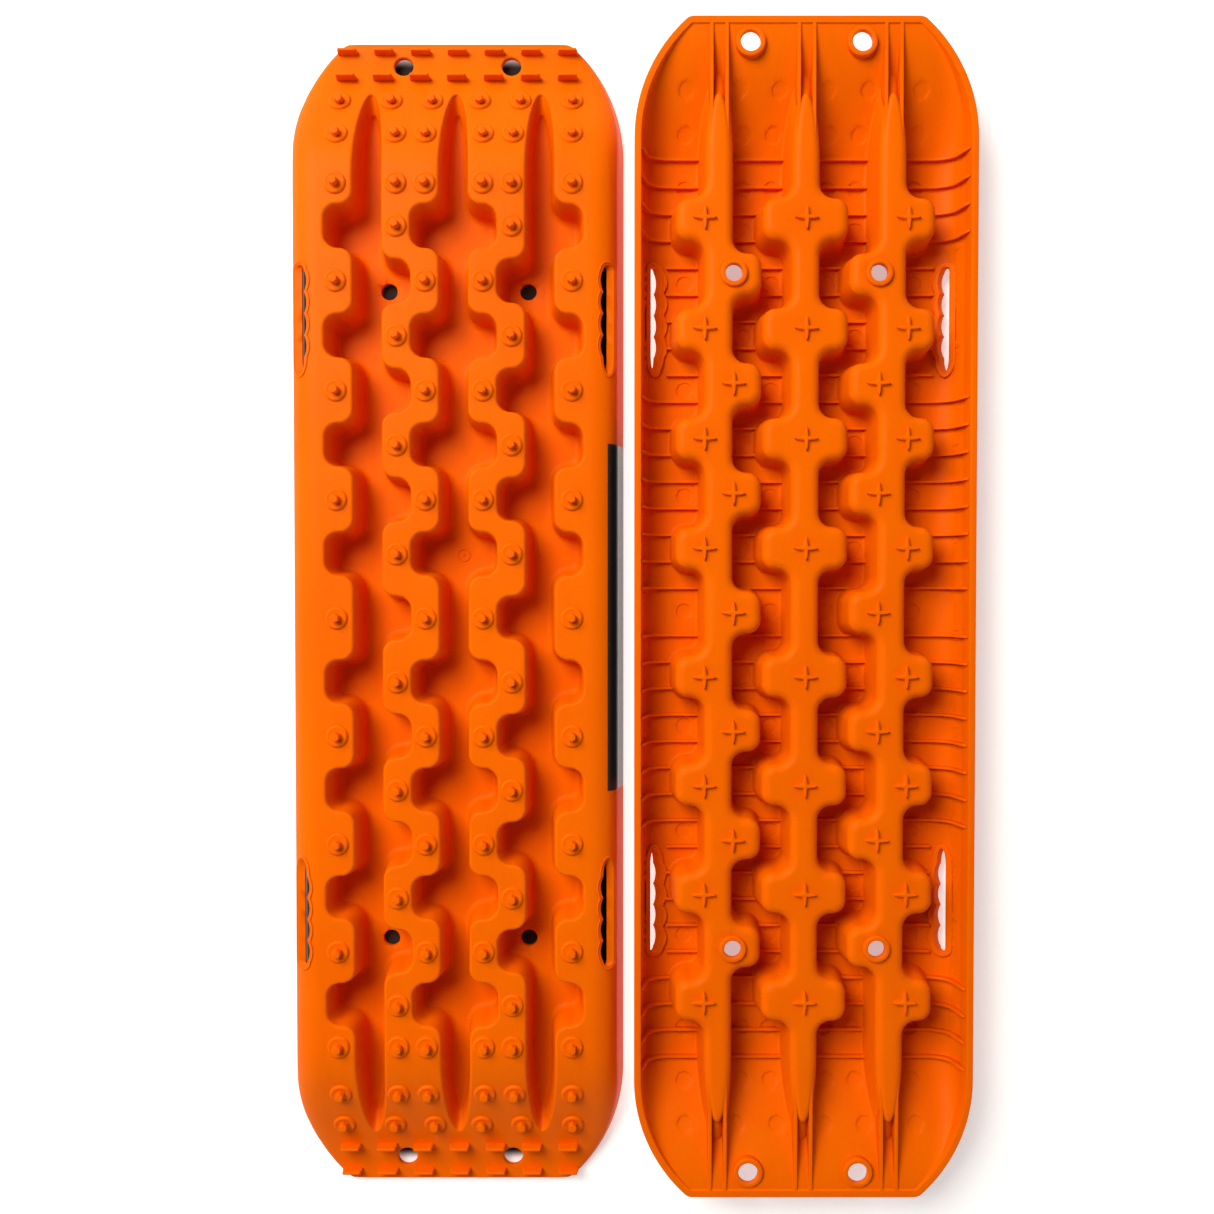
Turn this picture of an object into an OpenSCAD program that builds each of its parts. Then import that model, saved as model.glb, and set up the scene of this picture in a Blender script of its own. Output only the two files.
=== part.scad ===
// A pair of recovery mats for a wheel stuck in snow. One lies with its studded face up,
// the other is turned over. Each is a moulded tray: a deck with three deep zigzag channels,
// ramped ends with rows of teeth, sloped flanks with finger holes, and ribs underneath.
//
// Every module below draws in one mat's own frame: X across from the centreline, Y along
// from the middle, Z up from the tips of the underside crosses.

/* [Board] */
// Length of one mat
mat_length = 1065; // [1065:5:1400]
// Width of one mat over its rims
mat_width = 308; // [304:1:370]
// Height of the tray, from the underside of the channel floors to the deck
tray_height = 45; // [38:0.5:56]
// Wall thickness of the moulding
wall = 3.5; // [2.6:0.1:4.4]
// Length of the ramp at each end
ramp_length = 137; // [115:1:165]
// How far the deck drops along a ramp
ramp_drop = 39; // [32:0.5:39]
// Radius of the long curve that narrows each corner
corner_r = 142; // [130:1:150]
// Distance from the end at which that curve starts
corner_from_end = 107.5; // [90:0.5:115]

/* [Flanks] */
// Width of a flank, from the flat deck out to the rim
flank_width = 32; // [28:1:36]
// Width of the rounded shoulder
shoulder_width = 27; // [20:1:28]
// Height of the rounded shoulder
shoulder_height = 21; // [14:1:24]
// Width of the thick lower rim
rim_width = 6; // [5:0.5:8]
// Height of the thick lower rim
rim_height = 5; // [3:0.5:7]
// Gap between the rim and the ground under a mat that lies studs up
rim_lift = 4.5; // [3.6:0.1:6]

/* [Zigzag channels] */
// Width of one column of the zigzag: a channel, a step or a land
column = 26; // [22:0.5:26.5]
// Narrowing of each channel wall at half depth, from the mould's draft
draft_in = 2.4; // [0:0.1:3]
// Distance between rows of steps
row_pitch = 49.2; // [46:0.1:56]
// Distance from the middle to the first row of steps
first_row = 58; // [52:0.5:64]
// Length of one step along the mat, at the deck
step_length = 39; // [32:0.5:42]
// Radius of the corners of a channel
channel_r = 9.5; // [5:0.5:10]
// Length of the pointed tip of a channel
tip_length = 76; // [50:1:90]
// Distance from a channel's tip to the end of the mat
tip_from_end = 52; // [48:1:64]

/* [Studs and teeth] */
// Diameter of the low disc under a stud
stud_disc_d = 20.5; // [14:0.5:22]
// Height of the low disc
stud_disc_h = 2; // [1:0.1:3]
// Width across corners of the hexagonal pin
stud_pin_d = 8.4; // [6:0.1:11]
// Height of the pin above its disc
stud_pin_h = 8; // [4:0.5:12]
// Width of a tooth at its root
tooth_width = 19.5; // [14:0.5:24]
// Thickness of a tooth
tooth_thickness = 3.4; // [2:0.1:6]
// Slope of a tooth's two ends
tooth_taper = 1.6; // [0:0.1:4]
// Height of the inner row of teeth
inner_tooth_h = 9.5; // [5:0.5:12]
// Height of the outer row of teeth
outer_tooth_h = 7.5; // [4:0.5:10]
// Distance between teeth
tooth_pitch = 34; // [28:0.5:36]
// Distance from the end to the outer row of teeth
outer_teeth_from_end = 9; // [8:0.5:12]
// Distance from the end to the inner row of teeth
inner_teeth_from_end = 35; // [33:0.5:44]

/* [Holes] */
// Bore of the four eyelets in the ramps
eyelet_bore = 18; // [12:0.5:20]
// Outer diameter of an eyelet's collar
eyelet_collar_d = 27; // [22:0.5:30]
// Distance from the centreline to an eyelet
eyelet_x = 50; // [46:0.5:54]
// Distance from the end to an eyelet
eyelet_from_end = 22; // [21:0.5:23]
// Bore of the four bosses in the side channels
boss_bore = 15.5; // [8:0.5:17]
// Outer diameter of a boss
boss_d = 24.5; // [19:0.5:26]
// Offset of a boss from its channel's centreline towards the middle
boss_inset = 13; // [8:0.5:15]

/* [Finger holes] */
// Length of a finger hole
grip_length = 98; // [80:1:110]
// Distance from the end of the mat to the middle of a finger hole
grip_from_end = 262.5; // [240:1:290]
// Distance from the rim to the outer side of a finger hole
grip_from_rim = 10; // [9.5:0.5:12]
// Width of a finger hole
grip_width = 14.5; // [11:0.5:15]
// Depth of the finger scallops
scallop_depth = 2.4; // [0:0.1:4]
// Number of finger scallops
scallops = 4; // [2:1:5]
// Width of the bead round a finger hole
bead_width = 4; // [2:0.5:5]
// Height of the bead
bead_height = 3.5; // [2:0.5:5]

/* [Underside] */
// Thickness of a rib
rib_thickness = 2.6; // [1.6:0.1:4]
// Depth of a rib below the deck
rib_depth = 4.6; // [2:0.1:8]
// Distance between ribs
rib_pitch = 24.7; // [20:0.1:30]
// Distance from the middle to the first rib
first_rib = 22; // [14:0.5:24]
// Distance between the two ribs at a channel's nose
nose_rib_gap = 13.7; // [10:0.1:18]
// Thickness of a nose rib
nose_rib_thickness = 3.4; // [2:0.1:4]
// Span of a grip cross
cross_span = 22; // [14:0.5:24]
// Width of a cross's arm
cross_arm = 3.4; // [2:0.1:6]
// Height of a cross
cross_height = 3.5; // [2:0.1:5]

/* [Label strip] */
// Length of the label strip on a flank
label_length = 316; // [80:1:330]
// Distance from the rim's edge to the strip's upper edge
label_inset = 14; // [10:0.5:16]
// Thickness of the strip
label_thickness = 0.6; // [0.3:0.1:1.2]

/* [Pair] */
// Gap between the two mats
pair_gap = 9; // [3:0.5:40]
// How far one mat lies ahead of the other
stagger = 5; // [0:0.5:20]

/* [Hidden] */

orange = [1, 0.42, 0.05];
black = [0.06, 0.06, 0.06];
half_l = mat_length / 2;
half_w = mat_width / 2;
deck_z = cross_height + tray_height;
deck_under_z = deck_z - wall;
floor_z = cross_height + wall;
full_height = deck_z + stud_disc_h + stud_pin_h;
ramp_y = half_l - ramp_length;
corner_x = half_w - corner_r;
corner_y = half_l - corner_from_end;
flank_x = half_w - flank_width;
wall_top_x = half_w - flank_width + shoulder_width;
wall_top_z = deck_z - shoulder_height;
wall_draft = (half_w - wall_top_x) / (wall_top_z - rim_lift);
side_x = 3 * column;
mouth = column / 2;
tip_y = half_l - tip_from_end;
last_row = floor((ramp_y - step_length / 2 - first_row) / row_pitch) + 1;
boss_row = 2 * floor(last_row / 2);
boss_x = side_x - boss_inset;
// Share of a channel's tip that the cross ribs run along
ribs_along_tip = 0.6;
last_rib = floor((ramp_y + tip_length * ribs_along_tip - first_rib) / rib_pitch);
outer_stud_x = (side_x + mouth + flank_x) / 2;
grip_y = half_l - grip_from_end;
grip_out_x = half_w - grip_from_rim;
grip_in_x = grip_out_x - grip_width + scallop_depth;
// Rows of studs on the ramps, as distances past the start of the ramp
ramp_stud_rows = [-4, 43, 78];
// Where each of those rows puts its middle and its inner stud, as shares of a column
ramp_stud_columns = [[1, 2], [1, 2.05], [0.84, 2.27]];
profile_steps = 10;
arc_steps = 6;
past = 20;
// Room that a cut or a pocket keeps round what it makes way for
margin = 1;
// Overlap of two cuts that meet
lap = 0.01;
$fn = 48;

// Distance from the middle to a row of steps: even rows step the side channels inwards,
// odd rows step them outwards and widen the centre channel
function row_y(k) = k == 0 ? 0 : first_row + (k - 1) * row_pitch;

// Drop of the deck at a distance y from the middle: half a cosine wave along the ramp
function drop(y) = y <= ramp_y ? 0 : ramp_drop * (1 - cos(180 * min(1, (y - ramp_y) / ramp_length))) / 2;

// Slope of the ramp at y, in degrees
function slope(y) = y <= ramp_y ? 0 : atan((drop(y + 1) - drop(y - 1)) / 2);

// Half of the deck's outline in (y, z), lowered by a depth
function ramp_line(depth) = [for (i = [0 : profile_steps])
    let (y = ramp_y + ramp_length * i / profile_steps) [y, deck_z - depth - drop(y)]];

function mirrored(points) = [for (i = [len(points) - 1 : -1 : 0]) [-points[i][0], points[i][1]]];

// A flank's outline in (x, z), set in by a depth: a quarter ellipse, then the sloped wall
function flank_line(depth) = concat(
    [for (i = [0 : arc_steps]) let (a = 90 * i / arc_steps)
        [flank_x + (shoulder_width - depth) * sin(a), wall_top_z + (shoulder_height - depth) * cos(a)]],
    [[half_w - depth + (rim_lift + past) * wall_draft, -past]]);

// ---------------------------------------------------------------- outlines

module channel_spine() {
    polygon(concat(
        [for (i = [0 : 2 * profile_steps]) let (a = 90 * i / profile_steps)
            [mouth * cos(a), tip_y - tip_length + tip_length * sin(a)]],
        [for (i = [0 : 2 * profile_steps]) let (a = 180 + 90 * i / profile_steps)
            [mouth * cos(a), tip_length - tip_y + tip_length * sin(a)]]));
}

module step_2d(x_from, x_to, y) {
    for (s = y == 0 ? [1] : [-1, 1])
        translate([x_from, s * y - step_length / 2])
            square([x_to - x_from, step_length]);
}

module rounded_channel(grow) {
    offset(delta = grow)
    offset(r = -channel_r, $fn = 16) offset(delta = channel_r)
    offset(r = channel_r, $fn = 16) offset(delta = -channel_r)
        children();
}

module centre_channel_2d(grow) {
    rounded_channel(grow) {
        channel_spine();
        for (k = [1 : 2 : last_row])
            step_2d(-mouth - column, mouth + column, row_y(k));
    }
}

module side_channel_2d(grow) {
    translate([side_x, 0])
        rounded_channel(grow) {
            channel_spine();
            for (k = [0 : 2 : last_row])
                step_2d(-mouth - column, mouth, row_y(k));
            for (k = [1 : 2 : last_row])
                step_2d(-mouth, mouth + column, row_y(k));
        }
}

module grip_2d() {
    translate([(grip_in_x + grip_out_x) / 2, grip_y]) {
        square([grip_out_x - grip_in_x, grip_length - (grip_out_x - grip_in_x)], center = true);
        for (s = [-1, 1])
            translate([0, s * (grip_length - (grip_out_x - grip_in_x)) / 2])
                circle(d = grip_out_x - grip_in_x);
    }
    scallop_pitch = (grip_length - grip_width) / scallops;
    scallop_r = (pow(scallop_pitch / 2, 2) + pow(scallop_depth, 2)) / max(lap, 2 * scallop_depth);
    intersection() {
        for (i = [0 : scallops - 1])
            translate([grip_in_x - scallop_depth + scallop_r, grip_y + (i - (scallops - 1) / 2) * scallop_pitch])
                circle(r = scallop_r);
        translate([grip_in_x - 2 * scallop_depth, grip_y - grip_length / 2])
            square([grip_width / 2 + scallop_depth, grip_length]);
    }
}

// ---------------------------------------------------------------- solids that the pieces share

module along_x(width) {
    translate([-width / 2, 0, 0]) rotate([90, 0, 90]) linear_extrude(width) children();
}

module along_y(length) {
    translate([0, length / 2, 0]) rotate([90, 0, 0]) linear_extrude(length) children();
}

// All that lies under the deck's surface, lowered by a depth
module under_deck(depth) {
    line = ramp_line(depth);
    along_x(mat_width + 2 * past)
        polygon(concat([[-half_l - past, -past]], [[-half_l - past, line[profile_steps][1]]], mirrored(line),
            line, [[half_l + past, line[profile_steps][1]]], [[half_l + past, -past]]));
}

// All that lies inside the flanks, set in by a depth. Each end corner is the same outline
// turned about the centre of its long curve
module between_flanks(depth) {
    line = flank_line(depth);
    bottom_x = line[len(line) - 1][0];
    along_y(2 * corner_y)
        polygon(concat([[-bottom_x, -past]], mirrored(line), line));
    for (s = [0, 1]) for (e = [0, 1])
        mirror([s, 0, 0]) mirror([0, e, 0]) intersection() {
            translate([corner_x, corner_y, 0])
                rotate_extrude() polygon(concat([[0, -past], [0, line[0][1]]],
                    [for (p = line) [p[0] - corner_x, p[1]]]));
            translate([0, corner_y, -past]) cube([mat_width, corner_from_end + past, deck_z + 2 * past]);
        }
}

module between_ends(inset) {
    translate([-half_w - past, inset - half_l, -past])
        cube([mat_width + 2 * past, mat_length - 2 * inset, deck_z + 2 * past]);
}

module tray_outside() {
    intersection() {
        between_ends(0);
        under_deck(0);
        between_flanks(0);
        translate([-half_w, -half_l, rim_lift]) cube([mat_width, mat_length, deck_z]);
    }
}

module tray_inside(depth) {
    intersection() {
        between_ends(depth);
        under_deck(depth);
        between_flanks(depth);
    }
}

module tray_shell() {
    difference() {
        tray_outside();
        intersection() {
            tray_inside(wall);
            translate([-half_w, -half_l, rim_lift + rim_height]) cube([mat_width, mat_length, deck_z]);
        }
        intersection() {
            tray_inside(rim_width);
            translate([-half_w, -half_l, 0]) cube([mat_width, mat_length, rim_lift + rim_height + lap]);
        }
    }
}

module side_prisms(grow) {
    for (s = [0, 1])
        mirror([s, 0, 0]) translate([0, 0, -past]) linear_extrude(deck_z + 2 * past) side_channel_2d(grow);
}

module centre_prism(grow) {
    translate([0, 0, -past]) linear_extrude(deck_z + 2 * past) centre_channel_2d(grow);
}

module eyelet_places(d) {
    for (x = [-eyelet_x, eyelet_x])
        translate([x, half_l - eyelet_from_end, -past]) cylinder(d = d, h = deck_z + 2 * past);
}

// ---------------------------------------------------------------- pieces of one mat

module inner_land(s) {
    color(orange) difference() {
        translate([s > 0 ? 0 : -side_x, -ramp_y, deck_under_z]) cube([side_x, 2 * ramp_y, wall]);
        centre_prism(-draft_in);
        side_prisms(-draft_in);
    }
}

module outer_land(s) {
    color(orange) difference() {
        translate([s > 0 ? side_x : -flank_x, -ramp_y, deck_under_z]) cube([flank_x - side_x, 2 * ramp_y, wall]);
        side_prisms(-draft_in);
    }
}

module ramp(end) {
    color(orange) difference() {
        mirror([0, end < 0 ? 1 : 0, 0]) difference() {
            intersection() {
                tray_shell();
                translate([-flank_x, ramp_y, 0]) cube([2 * flank_x, ramp_length, deck_z]);
            }
            eyelet_places(eyelet_collar_d);
        }
        centre_prism(-draft_in);
        side_prisms(-draft_in);
    }
}

module flank(s) {
    color(orange) mirror([s < 0 ? 1 : 0, 0, 0]) difference() {
        intersection() {
            tray_shell();
            translate([flank_x, -half_l, 0]) cube([flank_width, mat_length, deck_z]);
        }
        for (e = [0, 1])
            mirror([0, e, 0]) translate([0, 0, -past]) linear_extrude(deck_z + 2 * past) grip_2d();
    }
}

module centre_channel() {
    color(orange) intersection() {
        difference() {
            translate([0, 0, cross_height]) linear_extrude(deck_z) centre_channel_2d(wall - draft_in);
            translate([0, 0, floor_z]) linear_extrude(deck_z) centre_channel_2d(-draft_in);
        }
        under_deck(wall);
    }
}

module side_channel(s) {
    color(orange) mirror([s < 0 ? 1 : 0, 0, 0]) difference() {
        intersection() {
            difference() {
                translate([0, 0, cross_height]) linear_extrude(deck_z) side_channel_2d(wall - draft_in);
                translate([0, 0, floor_z]) linear_extrude(deck_z) side_channel_2d(-draft_in);
            }
            under_deck(wall);
        }
        for (e = [-1, 1])
            translate([boss_x, e * row_y(boss_row), -past]) cylinder(d = boss_d, h = floor_z + past + margin);
    }
}

module stud(x, y) {
    e = y < 0 ? -1 : 1;
    translate([x, y, deck_z - drop(abs(y))]) {
        rotate([-e * slope(abs(y)), 0, 0]) translate([0, 0, -stud_disc_h])
            cylinder(d = stud_disc_d, h = 2 * stud_disc_h);
        translate([0, 0, -stud_disc_h]) cylinder(d = stud_pin_d, h = 2 * stud_disc_h + stud_pin_h, $fn = 6);
    }
}

module inner_studs(s) {
    color(orange) difference() {
        union() {
            for (k = [0 : last_row]) for (e = k == 0 ? [1] : [-1, 1])
                stud(s * (k % 2 == 0 ? 1 : 2) * column, e * row_y(k));
            for (i = [0 : 2]) for (share = ramp_stud_columns[i]) for (e = [-1, 1])
                stud(s * share * column, e * (ramp_y + ramp_stud_rows[i]));
        }
        under_deck(0);
    }
}

module outer_studs(s) {
    color(orange) difference() {
        union() {
            for (k = [0 : 2 : last_row]) for (e = k == 0 ? [1] : [-1, 1])
                stud(s * outer_stud_x, e * row_y(k));
            for (d = ramp_stud_rows) for (e = [-1, 1])
                stud(s * outer_stud_x, e * (ramp_y + d));
        }
        under_deck(0);
    }
}

module tooth(y, h) {
    z = deck_z - drop(y);
    translate([0, y + tooth_thickness / 2, z]) rotate([90, 0, 0]) linear_extrude(tooth_thickness)
        polygon([[-tooth_width / 2, -wall], [tooth_width / 2, -wall],
            [tooth_width / 2 - tooth_taper, h], [tooth_taper - tooth_width / 2, h]]);
}

module teeth(end) {
    color(orange) mirror([0, end < 0 ? 1 : 0, 0]) difference() {
        for (i = [-3 : 3]) translate([i * tooth_pitch, 0, 0]) {
            tooth(half_l - inner_teeth_from_end, inner_tooth_h);
            tooth(half_l - outer_teeth_from_end, outer_tooth_h);
        }
        under_deck(0);
    }
}

module cross_ribs() {
    color(orange) difference() {
        intersection() {
            tray_inside(wall);
            translate([-half_w, -half_l, rim_lift + rim_height]) cube([mat_width, mat_length, deck_z]);
            for (k = [0 : last_rib]) for (e = [-1, 1])
                translate([-half_w, e * (first_rib + k * rib_pitch) - rib_thickness / 2, 0])
                    cube([mat_width, rib_thickness, deck_z]);
        }
        tray_inside(wall + rib_depth);
        centre_prism(wall - draft_in);
        side_prisms(wall - draft_in);
        for (s = [0, 1]) for (e = [0, 1])
            mirror([s, 0, 0]) mirror([0, e, 0]) translate([grip_in_x - scallop_depth - bead_width - margin,
                grip_y - grip_length / 2 - bead_width - margin, 0])
                cube([flank_width, grip_length + 2 * (bead_width + margin), deck_z]);
    }
}

module nose_ribs(end) {
    color(orange) difference() {
        mirror([0, end < 0 ? 1 : 0, 0]) intersection() {
            tray_inside(wall);
            tray_inside(rim_width);
            for (x = [-side_x, 0, side_x]) for (s = [-1, 1])
                translate([x + s * nose_rib_gap / 2 - nose_rib_thickness / 2, tip_y - tip_length, rim_lift])
                    cube([nose_rib_thickness, half_l, deck_z]);
        }
        centre_prism(wall - draft_in);
        side_prisms(wall - draft_in);
    }
}

module grip_cross(x, y) {
    for (size = [[cross_span, cross_arm], [cross_arm, cross_span]])
        translate([x - size[0] / 2, y - size[1] / 2, 0]) cube([size[0], size[1], cross_height]);
}

module centre_crosses() {
    color(orange) for (k = [1 : 2 : last_row]) for (e = [-1, 1]) grip_cross(0, e * row_y(k));
}

module side_crosses(s) {
    color(orange) {
        for (k = [0 : 2 : boss_row - 1]) for (e = k == 0 ? [1] : [-1, 1])
            grip_cross(s * boss_x, e * row_y(k));
        for (k = [1 : 2 : last_row]) for (e = [-1, 1])
            grip_cross(s * (side_x + boss_inset), e * row_y(k));
    }
}

module pin_bosses() {
    color(orange) for (s = [-1, 1]) for (e = [-1, 1])
        translate([s * boss_x, e * row_y(boss_row), 0]) difference() {
            cylinder(d = boss_d, h = floor_z);
            translate([0, 0, -margin]) cylinder(d = boss_bore, h = floor_z + 2 * margin);
        }
}

module eyelets(end) {
    color(orange) mirror([0, end < 0 ? 1 : 0, 0]) difference() {
        intersection() {
            eyelet_places(eyelet_collar_d);
            under_deck(0);
            translate([-half_w, 0, rim_lift]) cube([mat_width, half_l, deck_z]);
        }
        eyelet_places(eyelet_bore);
    }
}

module grip_beads(s) {
    color(orange) mirror([s < 0 ? 1 : 0, 0, 0]) for (e = [0, 1]) mirror([0, e, 0]) difference() {
        intersection() {
            tray_inside(wall);
            translate([0, 0, rim_lift + rim_height]) linear_extrude(deck_z) difference() {
                offset(r = bead_width, $fn = 16) grip_2d();
                grip_2d();
            }
        }
        tray_inside(wall + bead_height);
    }
}

module label_strip() {
    color(black) difference() {
        intersection() {
            between_flanks(-label_thickness);
            translate([half_w - label_inset, -label_length / 2, rim_lift + 1])
                cube([label_inset + 2 * label_thickness, label_length, deck_z]);
        }
        between_flanks(0);
    }
}

// ---------------------------------------------------------------- the two mats as they lie

// The mat that lies with its studs up
module face_up() {
    translate([-(mat_width + pair_gap) / 2, -stagger / 2, 0]) children();
}

// The mat that is turned over about its long axis and rests on its studs
module face_down() {
    translate([(mat_width + pair_gap) / 2, stagger / 2, full_height]) rotate([0, 180, 0]) children();
}

face_up() outer_land(-1);  // a_left_outer_land
face_up() inner_land(-1);  // a_left_inner_land
face_up() inner_land(1);  // a_right_inner_land
face_up() outer_land(1);  // a_right_outer_land
face_up() ramp(1);  // a_head_ramp
face_up() ramp(-1);  // a_tail_ramp
face_up() flank(-1);  // a_left_flank
face_up() flank(1);  // a_right_flank
face_up() side_channel(-1);  // a_left_channel
face_up() centre_channel();  // a_centre_channel
face_up() side_channel(1);  // a_right_channel
face_up() outer_studs(-1);  // a_left_outer_studs
face_up() inner_studs(-1);  // a_left_inner_studs
face_up() inner_studs(1);  // a_right_inner_studs
face_up() outer_studs(1);  // a_right_outer_studs
face_up() teeth(1);  // a_head_teeth
face_up() teeth(-1);  // a_tail_teeth
face_up() cross_ribs();  // a_cross_ribs
face_up() nose_ribs(1);  // a_head_nose_ribs
face_up() nose_ribs(-1);  // a_tail_nose_ribs
face_up() side_crosses(-1);  // a_left_crosses
face_up() centre_crosses();  // a_centre_crosses
face_up() side_crosses(1);  // a_right_crosses
face_up() pin_bosses();  // a_pin_bosses
face_up() eyelets(1);  // a_head_eyelets
face_up() eyelets(-1);  // a_tail_eyelets
face_up() grip_beads(-1);  // a_left_grip_beads
face_up() grip_beads(1);  // a_right_grip_beads
face_up() label_strip();  // a_label
face_down() outer_land(-1);  // b_left_outer_land
face_down() inner_land(-1);  // b_left_inner_land
face_down() inner_land(1);  // b_right_inner_land
face_down() outer_land(1);  // b_right_outer_land
face_down() ramp(1);  // b_head_ramp
face_down() ramp(-1);  // b_tail_ramp
face_down() flank(-1);  // b_left_flank
face_down() flank(1);  // b_right_flank
face_down() side_channel(-1);  // b_left_channel
face_down() centre_channel();  // b_centre_channel
face_down() side_channel(1);  // b_right_channel
face_down() outer_studs(-1);  // b_left_outer_studs
face_down() inner_studs(-1);  // b_left_inner_studs
face_down() inner_studs(1);  // b_right_inner_studs
face_down() outer_studs(1);  // b_right_outer_studs
face_down() teeth(1);  // b_head_teeth
face_down() teeth(-1);  // b_tail_teeth
face_down() cross_ribs();  // b_cross_ribs
face_down() nose_ribs(1);  // b_head_nose_ribs
face_down() nose_ribs(-1);  // b_tail_nose_ribs
face_down() side_crosses(-1);  // b_left_crosses
face_down() centre_crosses();  // b_centre_crosses
face_down() side_crosses(1);  // b_right_crosses
face_down() pin_bosses();  // b_pin_bosses
face_down() eyelets(1);  // b_head_eyelets
face_down() eyelets(-1);  // b_tail_eyelets
face_down() grip_beads(-1);  // b_left_grip_beads
face_down() grip_beads(1);  // b_right_grip_beads
face_down() label_strip();  // b_label
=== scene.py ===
"""Looks of a pair of moulded recovery mats: one lies studs up, the other lies upside down.

Each mat is built from surfaces worked out on grids in the mat's own frame, in millimetres: X across
from the centreline, Y along from the middle, Z up from the tips of the underside crosses. A Placement
then turns it into the shared frame, in metres.
"""

import logging
import math
from dataclasses import dataclass, field, replace
from enum import Enum
from typing import Callable, Iterable, Sequence

import bmesh
import bpy
import numpy as np
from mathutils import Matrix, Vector
from mathutils.geometry import delaunay_2d_cdt


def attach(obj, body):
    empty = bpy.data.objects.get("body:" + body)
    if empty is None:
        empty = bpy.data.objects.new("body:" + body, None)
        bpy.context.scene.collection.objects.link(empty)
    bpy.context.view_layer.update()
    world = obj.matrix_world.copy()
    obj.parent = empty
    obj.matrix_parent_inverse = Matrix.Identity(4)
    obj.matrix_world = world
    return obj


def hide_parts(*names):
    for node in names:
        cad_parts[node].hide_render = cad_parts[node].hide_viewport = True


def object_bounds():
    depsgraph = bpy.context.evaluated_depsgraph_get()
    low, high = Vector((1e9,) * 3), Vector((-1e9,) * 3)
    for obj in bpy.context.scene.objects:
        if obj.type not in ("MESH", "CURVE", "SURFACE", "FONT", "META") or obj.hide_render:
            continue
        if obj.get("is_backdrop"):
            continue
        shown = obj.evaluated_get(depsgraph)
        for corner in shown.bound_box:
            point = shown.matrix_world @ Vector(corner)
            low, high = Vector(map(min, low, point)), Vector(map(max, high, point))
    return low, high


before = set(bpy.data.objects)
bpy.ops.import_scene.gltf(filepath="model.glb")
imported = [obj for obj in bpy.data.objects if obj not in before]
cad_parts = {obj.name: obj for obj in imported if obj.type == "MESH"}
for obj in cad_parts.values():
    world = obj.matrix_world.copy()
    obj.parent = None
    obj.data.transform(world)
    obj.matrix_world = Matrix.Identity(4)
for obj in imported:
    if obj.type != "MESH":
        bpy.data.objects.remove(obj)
CAD_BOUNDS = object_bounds()

log = logging.getLogger("mats")
Array = np.ndarray
MM = 0.001
BATCH = 1000  # points compared with an outline at once
TOUCHING = 1e-6  # mm: points of a plan closer than this are one
WELD = 3e-6  # m: points of a mesh closer than this are joined
SLIVER = 1e-7  # m: edges shorter than this are taken out
SHARP_BELOW = 0.62  # cosine: a face turned further from the smoothed normal keeps its own


class Lies(Enum):
    """Which way up a mat lies."""

    STUDS_UP = "a"
    UPSIDE_DOWN = "b"


def smooth(value: Array, start: float, stop: float) -> Array:
    """Smooth step from 0 at start to 1 at stop.

    Args:
        value: Where to evaluate it.
        start: Value at which the step leaves 0.
        stop: Value at which the step reaches 1.

    Returns:
        The step, as t squared times (3 minus 2 t).
    """
    t = np.clip((value - start) / (stop - start), 0.0, 1.0)
    return t * t * (3.0 - 2.0 * t)


def quarter(centre: Sequence[float], radius: float, start: float, stop: float, steps: int) -> Array:
    """Points along a circular arc.

    Args:
        centre: Centre of the circle.
        radius: Its radius.
        start: First angle, in degrees.
        stop: Last angle, in degrees.
        steps: Number of chords.

    Returns:
        The points, as centre plus radius times (cosine, sine).
    """
    angle = np.radians(np.linspace(start, stop, steps + 1))
    return np.column_stack((centre[0] + radius * np.cos(angle), centre[1] + radius * np.sin(angle)))


def between(first: Array, last: Array, steps: int) -> Array:
    """The inner points of a straight stretch that is cut into equal steps, without its two ends."""
    t = np.linspace(0.0, 1.0, steps + 1)[1:-1, None]
    return first * (1.0 - t) + last * t


def grid(across: Array, along: Array) -> Array:
    """Every pairing of places across and along, one row each."""
    return np.stack(np.meshgrid(across, along), axis=-1).reshape(-1, 2)


def batches(count: int) -> list[Array]:
    """Row numbers in runs short enough to be compared with a whole outline at once."""
    return np.array_split(np.arange(count), max(1, count // BATCH))


def inside(points: Array, loop: Array) -> Array:
    """Tells which points lie inside a closed outline, by counting the edges that a ray crosses.

    Args:
        points: Points in the plane, one row each.
        loop: Corners of the outline, one row each.

    Returns:
        True for each point that lies inside.
    """
    a, b = loop, np.roll(loop, -1, axis=0)
    result = np.zeros(len(points), bool)
    for part in batches(len(points)):
        x, y = points[part, 0][:, None], points[part, 1][:, None]
        spans = (a[:, 1] > y) != (b[:, 1] > y)
        rise = np.where(b[:, 1] == a[:, 1], 1e-9, b[:, 1] - a[:, 1])
        crossing = a[:, 0] + (y - a[:, 1]) * (b[:, 0] - a[:, 0]) / rise
        result[part] = (spans & (x < crossing)).sum(axis=1) % 2 == 1
    return result


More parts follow.
